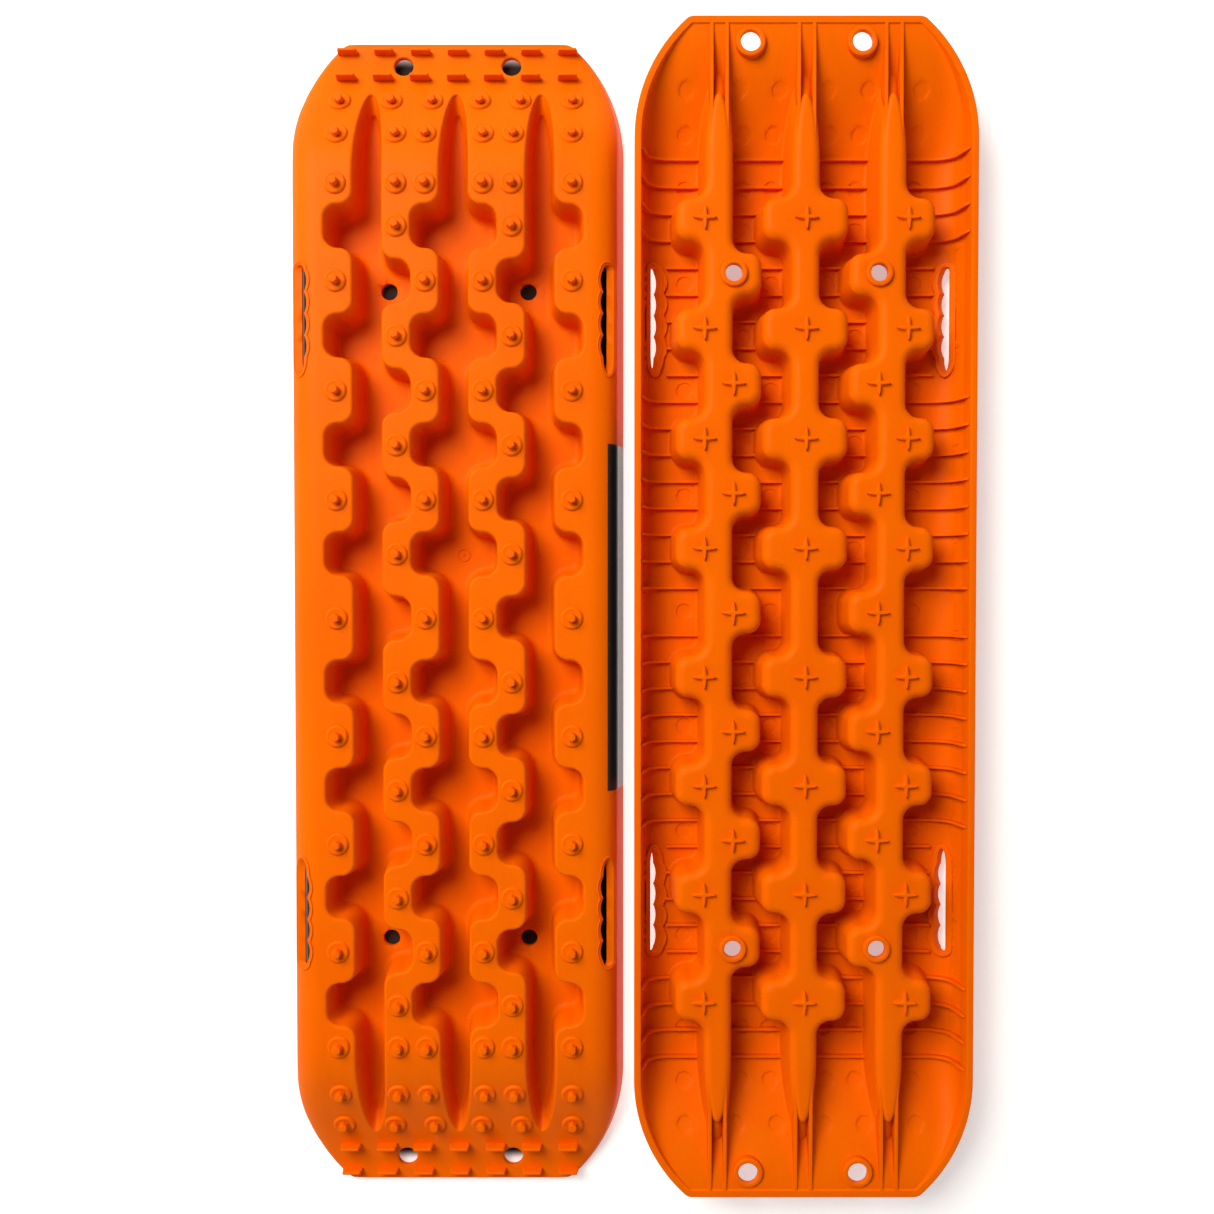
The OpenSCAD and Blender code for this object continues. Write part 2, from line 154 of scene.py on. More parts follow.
@dataclass(frozen=True)
class TraySizes:
    """Driving sizes of one mat, in millimetres, as the CAD model states them."""

    length: float = 1065.0
    width: float = 308.0
    tray_height: float = 45.0
    wall: float = 3.5
    ramp_length: float = 137.0
    ramp_drop: float = 39.0
    corner_r: float = 142.0
    corner_from_end: float = 107.5
    end_r: float = 11.0
    flank: float = 32.0
    shoulder_width: float = 27.0
    shoulder_height: float = 21.0
    rim_width: float = 6.0
    rim_lift: float = 4.5
    column: float = 26.0
    draft: float = 4.4
    row_pitch: float = 49.2
    first_row: float = 58.0
    step_length: float = 39.0
    channel_r: float = 12.4
    tip_length: float = 76.0
    tip_from_end: float = 52.0
    rows: int = 7
    cross_height: float = 3.5

    @property
    def half_length(self) -> float:
        """Half of the mat's length."""
        return self.length / 2

    @property
    def half_width(self) -> float:
        """Half of the mat's width."""
        return self.width / 2

    @property
    def deck(self) -> float:
        """Height of the deck."""
        return self.cross_height + self.tray_height

    @property
    def floor(self) -> float:
        """Height of a channel's floor."""
        return self.cross_height + self.wall

    @property
    def ramp_start(self) -> float:
        """Distance from the middle to the start of a ramp."""
        return self.half_length - self.ramp_length

    @property
    def tip(self) -> float:
        """Distance from the middle to a channel's tip."""
        return self.half_length - self.tip_from_end

    def row_y(self, row: int) -> float:
        """Distance from the middle to a row of steps."""
        return 0.0 if row == 0 else self.first_row + (row - 1) * self.row_pitch

    def rows_at(self, first: int) -> list[float]:
        """Both ends' places of every second row of steps.

        Args:
            first: 0 for the rows that step the side channels inwards, 1 for the other rows.

        Returns:
            The places along Y, from tail to head.
        """
        ahead = [self.row_y(row) for row in range(first, self.rows + 1, 2)]
        return sorted(set(ahead) | {-y for y in ahead})


class TraySurface:
    """Heights of the moulding's upper and lower skins over the plan of one mat."""

    RIM_CROWN = 2.6
    TOP_EDGE = 1.5
    UNDER_EDGE = 0.8
    MARK_R = 7.5
    MARK_WALL = 0.45
    MARK_DEPTH = 1.0
    RIM_WALL = 1.1
    NARROWEST = 0.35

    def __init__(self, sizes: TraySizes, marks: Array) -> None:
        """Args:
            sizes: The mat's sizes.
            marks: Centres of the round ejector marks on the underside, one row each.
        """
        self.s = sizes
        self.marks = marks
        self.big = np.array([sizes.half_width - sizes.corner_r, sizes.half_length - sizes.corner_from_end])
        reach = sizes.corner_r - sizes.end_r
        self.turn = math.asin((sizes.half_length - sizes.end_r - self.big[1]) / reach)
        self.small = self.big + reach * np.array([math.cos(self.turn), math.sin(self.turn)])

    def deck_line(self, y: Array) -> Array:
        """Height of the deck along the mat: half a cosine wave down each ramp."""
        share = np.clip((np.abs(y) - self.s.ramp_start) / self.s.ramp_length, 0.0, 1.0)
        return self.s.deck - self.s.ramp_drop * (1.0 - np.cos(np.pi * share)) / 2.0

    def side_depth(self, x: Array, y: Array) -> Array:
        """Distance inwards from the side and its long corner curves."""
        x, y = np.abs(x), np.abs(y)
        round_part = self.s.corner_r - np.hypot(x - self.big[0], y - self.big[1])
        return np.where(y > self.big[1], round_part, self.s.half_width - x)

    def depth(self, x: Array, y: Array) -> Array:
        """Distance inwards from the whole outline, ends included."""
        ax, ay = np.abs(x), np.abs(y)
        least = np.minimum(self.side_depth(x, y), self.s.half_length - ay)
        angle = np.arctan2(ay - self.big[1], ax - self.big[0])
        corner = (angle > self.turn) & (ax > self.small[0]) & (ay > self.small[1])
        return np.where(corner, self.s.end_r - np.hypot(ax - self.small[0], ay - self.small[1]), least)

    def flank(self, depth: Array) -> Array:
        """Share of its height that a flank has reached at a depth: a wall, then a quarter ellipse."""
        wall_width = self.s.flank - self.s.shoulder_width
        wall_height = self.s.deck - self.s.shoulder_height - self.s.rim_lift
        over = np.clip((self.s.flank - depth) / self.s.shoulder_width, 0.0, 1.0)
        curve = wall_height + self.s.shoulder_height * np.sqrt(1.0 - over * over)
        wall = wall_height * np.clip(depth, 0.0, None) / wall_width
        return np.where(depth < wall_width, wall, curve) / (wall_height + self.s.shoulder_height)

    def skin(self, x: Array, y: Array, inset: float) -> Array:
        """Height of the skin set in by a thickness. On the ramps the flank gets lower and narrower."""
        base = self.s.rim_lift + self.RIM_CROWN
        rise = self.deck_line(y) - inset - base
        narrow = self.NARROWEST + (1 - self.NARROWEST) * np.clip(rise / (self.s.deck - base), 0.0, 1.0)
        return base + rise * self.flank((self.side_depth(x, y) - inset) / narrow)

    @staticmethod
    def edge(depth: Array, radius: float) -> Array:
        """How far a rounded edge of that radius lies back at a depth."""
        over = np.clip(radius - depth, 0.0, radius)
        return radius - np.sqrt(radius * radius - over * over)

    def top(self, x: Array, y: Array) -> Array:
        """Height of the upper skin."""
        return self.skin(x, y, 0.0) - self.edge(self.depth(x, y), self.TOP_EDGE)

    def under(self, x: Array, y: Array) -> Array:
        """Height of the lower skin: a flat rim, its inner wall, then the skin with its round marks."""
        depth = self.depth(x, y)
        apart = (x[..., None] - self.marks[:, 0]) ** 2 + (y[..., None] - self.marks[:, 1]) ** 2
        away = np.sqrt(apart.min(axis=-1))
        mark = self.MARK_DEPTH * (1.0 - smooth(away, self.MARK_R - self.MARK_WALL, self.MARK_R))
        inner = self.skin(x, y, self.s.wall) + mark
        rim = self.s.rim_lift + self.edge(depth, self.UNDER_EDGE)
        share = smooth(depth, self.s.rim_width, self.s.rim_width + self.RIM_WALL)
        return rim + (inner - rim) * share

    def outline(self, inset: float) -> Array:
        """The mat's outline set in by a distance, as a closed run of points.

        Args:
            inset: Distance inwards, less than the end corners' radius.

        Returns:
            Points anticlockwise from the middle of the right side: straight side, long curve, end corner
            and end edge, then the same mirrored.
        """
        s, turn = self.s, math.degrees(self.turn)
        side = np.array([[s.half_width - inset, 0.0], [s.half_width - inset, self.big[1]]])
        straight = np.vstack((side[:1], between(side[0], side[1], 52)))
        long_curve = quarter(self.big, s.corner_r - inset, 0.0, turn, 24)
        corner = quarter(self.small, s.end_r - inset, turn, 90.0, 6)[1:]
        end = np.array([0.0, s.half_length - inset])
        quadrant = np.vstack((straight, long_curve, corner, between(corner[-1], end, 14)))
        head = np.vstack((quadrant, end[None], (quadrant * (-1, 1))[::-1]))
        return np.vstack((head, (head * (1, -1))[::-1][1:-1]))


@dataclass(frozen=True)
class Ring:
    """One contour of a channel's wall.

    Its outline grows by a distance, and its tips draw back. It lies at a height over the floor, or
    falls from the skin.
    """

    grow: float
    tip_back: float
    fall: float
    from_floor: bool


class Channel:
    """A zigzag channel: its outlines at any level, and the rings of its inner and outer walls."""

    ARC_STEPS = 6
    TIP_STEPS = 14
    ROOT_STEPS = 5
    LIP_R = 2.8
    FLOOR_R = 5.5
    ROOT_R = 2.5
    CREST_R = 8.0
    FLOOR_TIP_BACK = 10.0
    CREST_TIP_BACK = 14.0

    def __init__(self, sizes: TraySizes, centre: float, left: list[float], right: list[float]) -> None:
        """Args:
            sizes: The mat's sizes.
            centre: Where the channel's spine lies across the mat.
            left: Places of the steps on its left side.
            right: Places of the steps on its right side.
        """
        self.s = sizes
        self.centre = centre
        self.left = left
        self.right = right
        self.slope = sizes.draft / (sizes.deck - sizes.floor)
        self.upright = math.cos(math.atan(self.slope))

    def side(self, rows: list[float], grow: float, tip_back: float) -> Array:
        """One side of the outline, from the tail tip to the head tip.

        Args:
            rows: Places of the steps on this side.
            grow: How far the outline is set out, or in if negative.
            tip_back: How far the tips are drawn back towards the middle.

        Returns:
            Points with the side to the right: an elliptical tip, then each step as four rounded corners.
        """
        s, base = self.s, self.s.column / 2 + grow
        hollow, bulge = s.channel_r - grow, s.channel_r + grow
        bend = s.tip - s.tip_length
        angle = np.linspace(0.0, np.pi / 2, self.TIP_STEPS + 1)
        reach = s.tip_length + grow - tip_back
        tip = np.column_stack((base * np.sin(angle), -(bend + reach * np.cos(angle))))
        far = base + s.column
        parts = [tip]
        for y in rows:
            low, high = y - s.step_length / 2 - grow, y + s.step_length / 2 + grow
            corners = [
                quarter((base + hollow, low - hollow), hollow, 180.0, 90.0, self.ARC_STEPS),
                quarter((far - bulge, low + bulge), bulge, -90.0, 0.0, self.ARC_STEPS),
                quarter((far - bulge, high - bulge), bulge, 0.0, 90.0, self.ARC_STEPS),
                quarter((base + hollow, high + hollow), hollow, 270.0, 180.0, self.ARC_STEPS),
            ]
            parts += [between(parts[-1][-1], corners[0][0], 5), corners[0]]
            parts += [between(corners[0][-1], corners[1][0], 2), corners[1]]
            parts += [between(corners[1][-1], corners[2][0], 3), corners[2]]
            parts += [between(corners[2][-1], corners[3][0], 2), corners[3]]
        head = (tip * (1, -1))[::-1]
        return np.vstack([*parts, between(parts[-1][-1], head[0], 5), head])

    def outline(self, grow: float, tip_back: float = 0.0) -> Array:
        """The whole outline at a level, anticlockwise from the tail tip."""
        right = self.side(self.right, grow, tip_back)
        left = self.side(self.left, grow, tip_back) * (-1, 1)
        return np.vstack((right, left[::-1][1:-1])) + (self.centre, 0.0)

    def reach_at(self, y: float, rows: list[float], grow: float) -> float:
        """How far a side's wall lies from the spine's centre at one place along the mat.

        Args:
            y: The place along the mat.
            rows: Places of the steps on this side.
            grow: How far the outline is set out.

        Returns:
            The distance, with the rounded corners of a step taken into account.
        """
        s, base = self.s, self.s.column / 2 + grow
        hollow, bulge = s.channel_r - grow, s.channel_r + grow
        half = s.step_length / 2 + grow
        bend, reach = s.tip - s.tip_length, s.tip_length + grow
        if abs(y) > bend:
            return base * math.sqrt(max(0.0, 1.0 - ((abs(y) - bend) / reach) ** 2))
        past = min((abs(y - row) for row in rows), default=1e9) - half
        if past >= hollow:
            return base
        if past >= 0:
            return base + hollow - math.sqrt(hollow**2 - (hollow - past) ** 2)
        if past > -bulge:
            return base + s.column - bulge + math.sqrt(bulge**2 - (bulge + past) ** 2)
        return base + s.column

    def inner_rings(self) -> list[Ring]:
        """Rings of the inner wall, from the lip on the deck down to the edge of the flat floor."""
        lip = [
            Ring(self.LIP_R * (1 - math.sin(a)), 0.0, self.LIP_R * (1 - math.cos(a)), False)
            for a in np.radians(np.linspace(0, 84, 6))
        ]
        centre = self.grow_at(self.s.floor + self.FLOOR_R) - self.FLOOR_R / self.upright
        return lip + self.bend_in(centre, self.FLOOR_R, self.FLOOR_TIP_BACK)

    def outer_rings(self) -> list[Ring]:
        """Rings of the outer wall, from its root under the deck down to the edge of the flat crest."""
        skin = self.s.wall / self.upright
        centre = self.grow_at(self.s.deck - self.s.wall - self.ROOT_R) + skin + self.ROOT_R
        root = [
            Ring(centre + self.ROOT_R * math.cos(a), 0.0, self.ROOT_R * (1 - math.sin(a)), False)
            for a in np.radians(np.linspace(90, 174, self.ROOT_STEPS))
        ]
        centre = self.grow_at(self.s.cross_height + self.CREST_R) + skin - self.CREST_R / self.upright
        return root + self.bend_in(centre, self.CREST_R, self.CREST_TIP_BACK)

    @staticmethod
    def bend_in(centre: float, radius: float, tip_back: float) -> list[Ring]:
        """Rings of the bend from a wall into the flat that ends it.

        Args:
            centre: How far the outline has grown at the bend's centre.
            radius: The bend's radius.
            tip_back: How far the tips draw back.

        Returns:
            The rings, from the wall to the flat.
        """
        return [
            Ring(centre + radius * math.cos(a), tip_back, radius * (1 + math.sin(a)), True)
            for a in np.radians(np.linspace(-6, -90, 6))
        ]

    def wall_below_root(self) -> float:
        """How far the outline has grown where the outer wall leaves the bend at its root."""
        return self.outer_rings()[self.ROOT_STEPS - 1].grow

    def nose_height(self, y: Array, reach: float, surface: TraySurface) -> Array:
        """Height of the inner wall at a distance from the spine's centre, along the channel's tip.

        Args:
            y: Places along the mat, past the start of the tip.
            reach: Distance from the spine's centre.
            surface: The tray's skins.

        Returns:
            The height, from each ring's half width there, which narrows as an ellipse.
        """
        bend = self.s.tip - self.s.tip_length
        skin = surface.top(np.full_like(y, self.centre + reach), y)
        widths, heights = [], []
        for ring in self.inner_rings():
            share = np.clip((y - bend) / (self.s.tip_length + ring.grow - ring.tip_back), 0.0, 1.0)
            widths.append((self.s.column / 2 + ring.grow) * np.sqrt(1.0 - share**2))
            heights.append(np.full_like(y, self.s.floor + ring.fall) if ring.from_floor else skin - ring.fall)
        widths, heights = np.array(widths)[::-1], np.array(heights)[::-1]
        return np.array([np.interp(reach, w, h) for w, h in zip(widths.T, heights.T)])

    def grow_at(self, height: float) -> float:
        """How far the inner wall has moved in at a height, from the mould's draft."""
        return -self.slope * (self.s.deck - height)


@dataclass(frozen=True)
class FingerHole:
    """A finger hole in a flank: straight outside, scalloped inside, its ends round and drawn out."""

    middle: float = 270.0
    length: float = 98.0
    outer_x: float = 144.4
    inner_x: float = 135.2
    scallop: float = 2.4
    scallops: int = 4
    drawn_out: float = 15.0
    lower_outer_x: float = 138.2
    lower_inner_x: float = 130.2

    def lower(self) -> "FingerHole":
        """The same hole where it leaves the underside: it slants in towards the middle of the mat."""
        return replace(self, outer_x=self.lower_outer_x, inner_x=self.lower_inner_x)

    def outline(self, grow: float) -> Array:
        """The hole's outline on the head end's right flank.

        Args:
            grow: How far the outline is set out.

        Returns:
            Points anticlockwise: straight side, half circle, scallops as a power of a sine, half ellipse.
        """
        half = (self.outer_x - self.inner_x) / 2
        centre = (self.outer_x + self.inner_x) / 2
        low, high = self.middle - self.length / 2 + self.drawn_out, self.middle + self.length / 2 - half
        straight = np.column_stack((np.full(14, self.outer_x + grow), np.linspace(low, high, 14)))
        head = quarter((centre, high), half + grow, 0.0, 180.0, 12)[1:]
        t = np.linspace(0.0, 1.0, 12 * self.scallops + 1)
        wave = self.scallop * np.abs(np.sin(np.pi * self.scallops * t)) ** 0.75
        inner = np.column_stack((self.inner_x - grow - wave, high + (low - high) * t))[1:]
        angle = np.radians(np.linspace(180.0, 360.0, 15))[1:-1]
        reach = self.drawn_out + grow
        tail = np.column_stack((centre + (half + grow) * np.cos(angle), low + reach * np.sin(angle)))
        return np.vstack((straight, head, inner, tail))


@dataclass
class Build:
    """A mesh being put together from arrays of points and faces, in the mat's own frame."""

    points: list[Array] = field(default_factory=list)
    faces: list[Array] = field(default_factory=list)
    count: int = 0

    @classmethod
    def solid(cls, rings: Array) -> "Build":
        """One tube of closed rings with both ends closed."""
        build = cls()
        build.loft(rings, cap_first=True, cap_last=True)
        return build

    def add(self, points: Array, *faces: Array) -> None:
        """Adds points, and faces that count from the first of them."""
        self.points.append(points)
        self.faces += [part + self.count for part in faces]
        self.count += len(points)

    def loft(self, rings: Array, cap_first: bool = False, cap_last: bool = False) -> None:
        """Joins closed rings of equal length into a tube.

        Args:
            rings: Points, as ring, place round the ring, coordinate.
            cap_first: Whether a fan of triangles closes the first ring.
            cap_last: Whether a fan closes the last ring.
        """
        total, around = rings.shape[:2]
        index = np.arange(total * around).reshape(total, around)
        after = np.roll(index, -1, axis=1)
        quads = np.stack((index[:-1], after[:-1], after[1:], index[1:]), axis=-1).reshape(-1, 4)
        points, faces = [rings.reshape(-1, 3)], [quads]
        for wanted, row in ((cap_first, 0), (cap_last, total - 1)):
            if wanted:
                hub = np.full(around, sum(map(len, points)))
                points.append(rings[row].mean(axis=0)[None])
                faces.append(np.stack((index[row], after[row], hub), axis=-1))
        self.add(np.vstack(points), *faces)

    def copies(self, other: "Build", places: Array, turns: Array | None = None) -> None:
        """Adds many copies of another build.

        Args:
            other: What is copied.
            places: Where each copy's origin goes.
            turns: One 3 by 3 matrix for each copy, or nothing if all stand as built.
        """
        base = np.vstack(other.points)
        if turns is None:
            turns = np.broadcast_to(np.eye(3), (len(places), 3, 3))
        points = np.einsum("kij,nj->kni", turns, base) + places[:, None, :]
        steps = np.arange(len(places))[:, None, None] * len(base)
        faces = [(part[None] + steps).reshape(-1, part.shape[1]) for part in other.faces]
        self.add(points.reshape(-1, 3), *faces)


def fill(outer: Array, holes: list[Array], creases: list[Array], seeds: Array,
         gap: float) -> tuple[Array, Array]:
    """Fills the space between closed outlines with triangles.

    Args:
        outer: The outer outline.
        holes: Outlines that stay empty inside.
        creases: Closed lines that triangles don't cross.
        seeds: Points wanted inside.
        gap: Least distance from a wanted point to an outline.

    Returns:
        The points in the plane, and the triangles between them.
    """
    loops = [outer, *holes, *creases]
    lines = np.vstack(loops)
    wanted = inside(seeds, outer)
    for hole in holes:
        wanted &= ~inside(seeds, hole)
    seeds = seeds[wanted]
    clear = np.ones(len(seeds), bool)
    for part in batches(len(seeds)):
        apart = ((seeds[part, None, :] - lines[None]) ** 2).sum(axis=-1).min(axis=1)
        clear[part] = apart > gap * gap
    starts = np.cumsum([0] + [len(loop) for loop in loops])
    rounds = [np.arange(len(loop)) + first for loop, first in zip(loops, starts)]
    edges = np.vstack([np.column_stack((ring, np.roll(ring, -1))) for ring in rounds])
    points = np.vstack((lines, seeds[clear]))
    found = delaunay_2d_cdt(points.tolist(), edges.tolist(), [], 0, TOUCHING)
    places, triangles = np.array([tuple(p) for p in found[0]]), np.array(found[2])
    middle = places[triangles].mean(axis=1)
    kept = inside(middle, outer)
    for hole in holes:
        kept &= ~inside(middle, hole)
    return places, triangles[kept]


def circle(x: float, y: float, radius: float, steps: int) -> Array:
    """A closed circle in the plane, without its last point."""
    return quarter((x, y), radius, 0.0, 360.0, steps)[:-1]


def four_ways(points: Array) -> list[Array]:
    """Points on the head end's right side, mirrored to all four corners of the mat."""
    return [points * (sx, sy, 1)[: points.shape[-1]] for sx in (1, -1) for sy in (1, -1)]


def lift(loop: Array, height: Array | float) -> Array:
    """Points in the plane, given a height."""
    return np.column_stack((loop, np.broadcast_to(height, len(loop))))


@dataclass
class Placement:
    """How a mat's own frame, in millimetres, goes into the shared frame, in metres."""

    lies: Lies
    origin: tuple[float, float, float]

    @classmethod
    def of(cls, lies: Lies, sizes: TraySizes, bounds: tuple[Vector, Vector]) -> "Placement":
        """Works out a mat's place from the whole object's box.

        Args:
            lies: Which mat.
            sizes: The mat's sizes.
            bounds: Lowest and highest corners of the object's box, in metres.

        Returns:
            The placement: the studs-up mat fills the box's low corner, the other its high corner.
        """
        low, high = (np.array(corner) for corner in bounds)
        half = np.array([sizes.half_width, sizes.half_length, 0.0]) * MM
        origin = low + half if lies is Lies.STUDS_UP else high - half
        return cls(lies, tuple(origin))

    def place(self, points: Array) -> Array:
        """Takes points from the mat's frame into the shared one: the upside-down mat is turned about Y."""
        turn = (1, 1, 1) if self.lies is Lies.STUDS_UP else (-1, 1, -1)
        return points * turn * MM + self.origin


def make_piece(name: str, build: Build, placement: Placement) -> bpy.types.Object:
    """Makes a closed, smooth-shaded mesh object from a build.

    Args:
        name: The object's name.
        build: Its points and faces, in the mat's frame.
        placement: Where the mat lies.

    Returns:
        The object. Each corner's normal is the sum of its faces' normals times their areas, so that a
        broad face stays flat and the narrow faces beside it read as a rounded edge. A face that turns
        far away from that sum keeps its own normal, so that a sharp edge stays crisp.
    """
    mesh = bpy.data.meshes.new(name)
    faces = [face for part in build.faces for face in part.tolist()]
    mesh.from_pydata(placement.place(np.vstack(build.points)), [], faces)
    work = bmesh.new()
    work.from_mesh(mesh)
    bmesh.ops.remove_doubles(work, verts=work.verts, dist=WELD)
    bmesh.ops.dissolve_degenerate(work, edges=work.edges, dist=SLIVER)
    bmesh.ops.recalc_face_normals(work, faces=work.faces)
    open_edges = sum(not edge.is_manifold for edge in work.edges)
    work.to_mesh(mesh)
    work.free()
    mesh.shade_smooth()
    corners = np.empty(len(mesh.loops), np.int32)
    mesh.loops.foreach_get("vertex_index", corners)
    areas = np.empty(len(mesh.polygons))
    mesh.polygons.foreach_get("area", areas)
    normals = np.empty(len(mesh.polygons) * 3)
    mesh.polygons.foreach_get("normal", normals)
    sizes = np.empty(len(mesh.polygons), np.int32)
    mesh.polygons.foreach_get("loop_total", sizes)
    weighted = np.repeat(normals.reshape(-1, 3) * areas[:, None], sizes, axis=0)
    total = np.zeros((len(mesh.vertices), 3))
    np.add.at(total, corners, weighted)
    total /= np.maximum(np.linalg.norm(total, axis=1), 1e-30)[:, None]
    own = np.repeat(normals.reshape(-1, 3), sizes, axis=0)
    joined = total[corners]
    sharp = (own * joined).sum(axis=1) < SHARP_BELOW
    mesh.normals_split_custom_set(np.where(sharp[:, None], own, joined).tolist())
    piece = bpy.data.objects.new(name, mesh)
    bpy.context.scene.collection.objects.link(piece)
    triangles = int((sizes - 2).sum())
    log.info("%s: %d triangles, %d open edges", name, triangles, open_edges)
    return piece


@dataclass
class Moulding:
    """One mat's main moulding, as one closed shell: rim, flanks, ramps, lands and three zigzag channels."""

    sizes: TraySizes
    surface: TraySurface
    channels: list[Channel]
    hole: FingerHole
    eyelet_x: float = 50.0
    eyelet_from_end: float = 22.0
    eyelet_r: float = 9.3
    boss_r: float = 8.0
    round_steps: int = 32
    hole_lip: tuple[tuple[float, float], ...] = ((0.9, 0.0), (0.3, 0.3), (0.0, 0.9))
    sheet_inset: float = 8.0
    sheet_gap: float = 1.9
    floor_gap: float = 3.0
    seed_insets: tuple[float, ...] = (9.3, 10.7, 12.2, 14, 16, 18.3, 21, 24, 27, 30, 32, 34)
    top_insets: tuple[float, ...] = (0, 0.08, 0.3, 0.7, 1.5, 3.0, 4.2, 5.0, 6.0, 7.0)
    under_insets: tuple[float, ...] = (0, 0.1, 0.35, 0.8, 3.4, 6.0, 6.15, 6.4, 6.7, 6.95, 7.1)

    @property
    def eyelet_y(self) -> float:
        """Distance from the middle to an eyelet."""
        return self.sizes.half_length - self.eyelet_from_end

    @property
    def boss_y(self) -> float:
        """Distance from the middle to a boss."""
        return self.sizes.row_y(2 * (self.sizes.rows // 2))

    @property
    def boss_x(self) -> float:
        """Distance from the centreline to a boss: half a column in from the side channel's spine."""
        return 3 * self.sizes.column - self.sizes.column / 2

    def seeds(self) -> Array:
        """Points wanted in a sheet, in rows as close as the skin's curves need.

        Returns:
            Rows along the flanks and round their corner curves, a grid on the ramps, a wide one on the deck.
        """
        s, big = self.sizes, self.surface.big
        insets = np.array(self.seed_insets)
        side = grid(s.half_width - insets, np.arange(0.0, big[1], 9.0))
        polar = grid(s.corner_r - insets, np.radians(np.arange(0.6, 88.0, 2.1)))
        bend = polar[:, :1] * np.column_stack((np.cos(polar[:, 1]), np.sin(polar[:, 1]))) + big
        ahead = np.arange(s.ramp_start - 12, s.half_length - self.sheet_inset - 2, 4.6)
        ramp = grid(np.arange(0.0, s.half_width - 36, 7.0), ahead)
        clear = s.corner_r - np.hypot(ramp[:, 0] - big[0], ramp[:, 1] - big[1]) > 36.5
        ramp = ramp[clear | (ramp[:, 0] < big[0])]
        deck = grid(np.arange(0.0, 119, 17.0), np.arange(0.0, s.ramp_start - 16, 22.0))
        every = np.vstack(four_ways(np.vstack((side, bend, ramp, deck))))
        return np.unique(every.round(4), axis=0)

    def add_sheet(self, build: Build, height: Callable[[Array, Array], Array], holes: list[Array],
                  creases: list[Array], insets: Sequence[float]) -> None:
        """Adds a skin: narrow strips round the rim, then triangles up to every opening.

        Args:
            build: What it is added to.
            height: The skin's height over the plan.
            holes: Outlines of the openings.
            creases: Closed lines that triangles follow.
            insets: Insets of the strips' edges, from the outline to the last one before the sheet.
        """
        rings = [self.surface.outline(inset) for inset in (*insets, self.sheet_inset)]
        build.loft(np.stack([lift(ring, height(ring[:, 0], ring[:, 1])) for ring in rings]))
        places, triangles = fill(rings[-1], holes, creases, self.seeds(), self.sheet_gap)
        build.add(lift(places, height(places[:, 0], places[:, 1])), triangles)

    @staticmethod
    def channel_levels(channel: Channel, rings: list[Ring], height: Callable[[Array, Array], Array],
                       base: float) -> Array:
        """Points of one wall of a channel.

        Args:
            channel: The channel.
            rings: Its rings, from the skin down.
            height: The skin's height over the plan.
            base: Height that the lower rings count from.

        Returns:
            One closed ring of points for each ring.
        """
        levels = []
        for ring in rings:
            loop = channel.outline(ring.grow, ring.tip_back)
            z = base + ring.fall if ring.from_floor else height(loop[:, 0], loop[:, 1]) - ring.fall
            levels.append(lift(loop, z))
        return np.stack(levels)

    def add_channel(self, build: Build, channel: Channel) -> None:
        """Adds a channel's inner and outer walls, its floor and its crest, with holes for the bosses."""
        s = self.sizes
        inner = self.channel_levels(channel, channel.inner_rings(), self.surface.top, s.floor)
        outer = self.channel_levels(channel, channel.outer_rings(), self.surface.under, s.cross_height)
        build.loft(inner)
        build.loft(outer)
        side = np.sign(channel.centre)
        places = [(side * self.boss_x, y) for y in (-self.boss_y, self.boss_y)] if side else []
        holes = [circle(x, y, self.boss_r, self.round_steps) for x, y in places]
        seeds = grid(np.arange(-39, 40, 13.0), np.arange(-480, 481, 12.0)) + (channel.centre, 0.0)
        for wall, z in ((inner, s.floor), (outer, s.cross_height)):
            plan, triangles = fill(wall[-1][:, :2], holes, [], seeds, self.floor_gap)
            build.add(lift(plan, z), triangles)
        for hole in holes:
            build.loft(np.stack((lift(hole, s.floor), lift(hole, s.cross_height))))

    def add_hole(self, build: Build, loops: Sequence[Array], under: Array) -> None:
        """Adds the wall of a hole through the tray.

        Args:
            build: What it is added to.
            loops: Its outlines, one for each level of the rounded lip, from the skin down.
            under: The outline on the lower skin.
        """
        levels = [
            lift(loop, self.surface.top(loop[:, 0], loop[:, 1]) - fall)
            for loop, (_, fall) in zip(loops, self.hole_lip)
        ]
        build.loft(np.stack([*levels, lift(under, self.surface.under(under[:, 0], under[:, 1]))]))

    def build(self) -> Build:
        """Builds the whole shell."""
        shell, surface = Build(), self.surface
        centres = four_ways(np.array([self.eyelet_x, self.eyelet_y]))
        eyelets = [
            [circle(x, y, self.eyelet_r + grow, self.round_steps) for x, y in centres]
            for grow, _ in self.hole_lip
        ]
        grips = [four_ways(self.hole.outline(grow)) for grow, _ in self.hole_lip]
        slots = four_ways(self.hole.lower().outline(0.0))
        mouths = [channel.outline(channel.inner_rings()[0].grow) for channel in self.channels]
        roots = [channel.outline(channel.outer_rings()[0].grow) for channel in self.channels]
        self.add_sheet(shell, surface.top, mouths + grips[0] + eyelets[0], [], self.top_insets)
        mark_radii = (surface.MARK_R, surface.MARK_R - surface.MARK_WALL)
        marks = [circle(x, y, radius, 20) for x, y in surface.marks for radius in mark_radii]
        self.add_sheet(shell, surface.under, roots + slots + eyelets[-1], marks, self.under_insets)
        rim = surface.outline(0.0)
        shell.loft(np.stack([lift(rim, skin(rim[:, 0], rim[:, 1])) for skin in (surface.top, surface.under)]))
        for channel in self.channels:
            self.add_channel(shell, channel)
        for *loops, slot in zip(*grips, slots):
            self.add_hole(shell, loops, slot)
        for loops in zip(*eyelets):
            self.add_hole(shell, loops, loops[-1])
        return shell


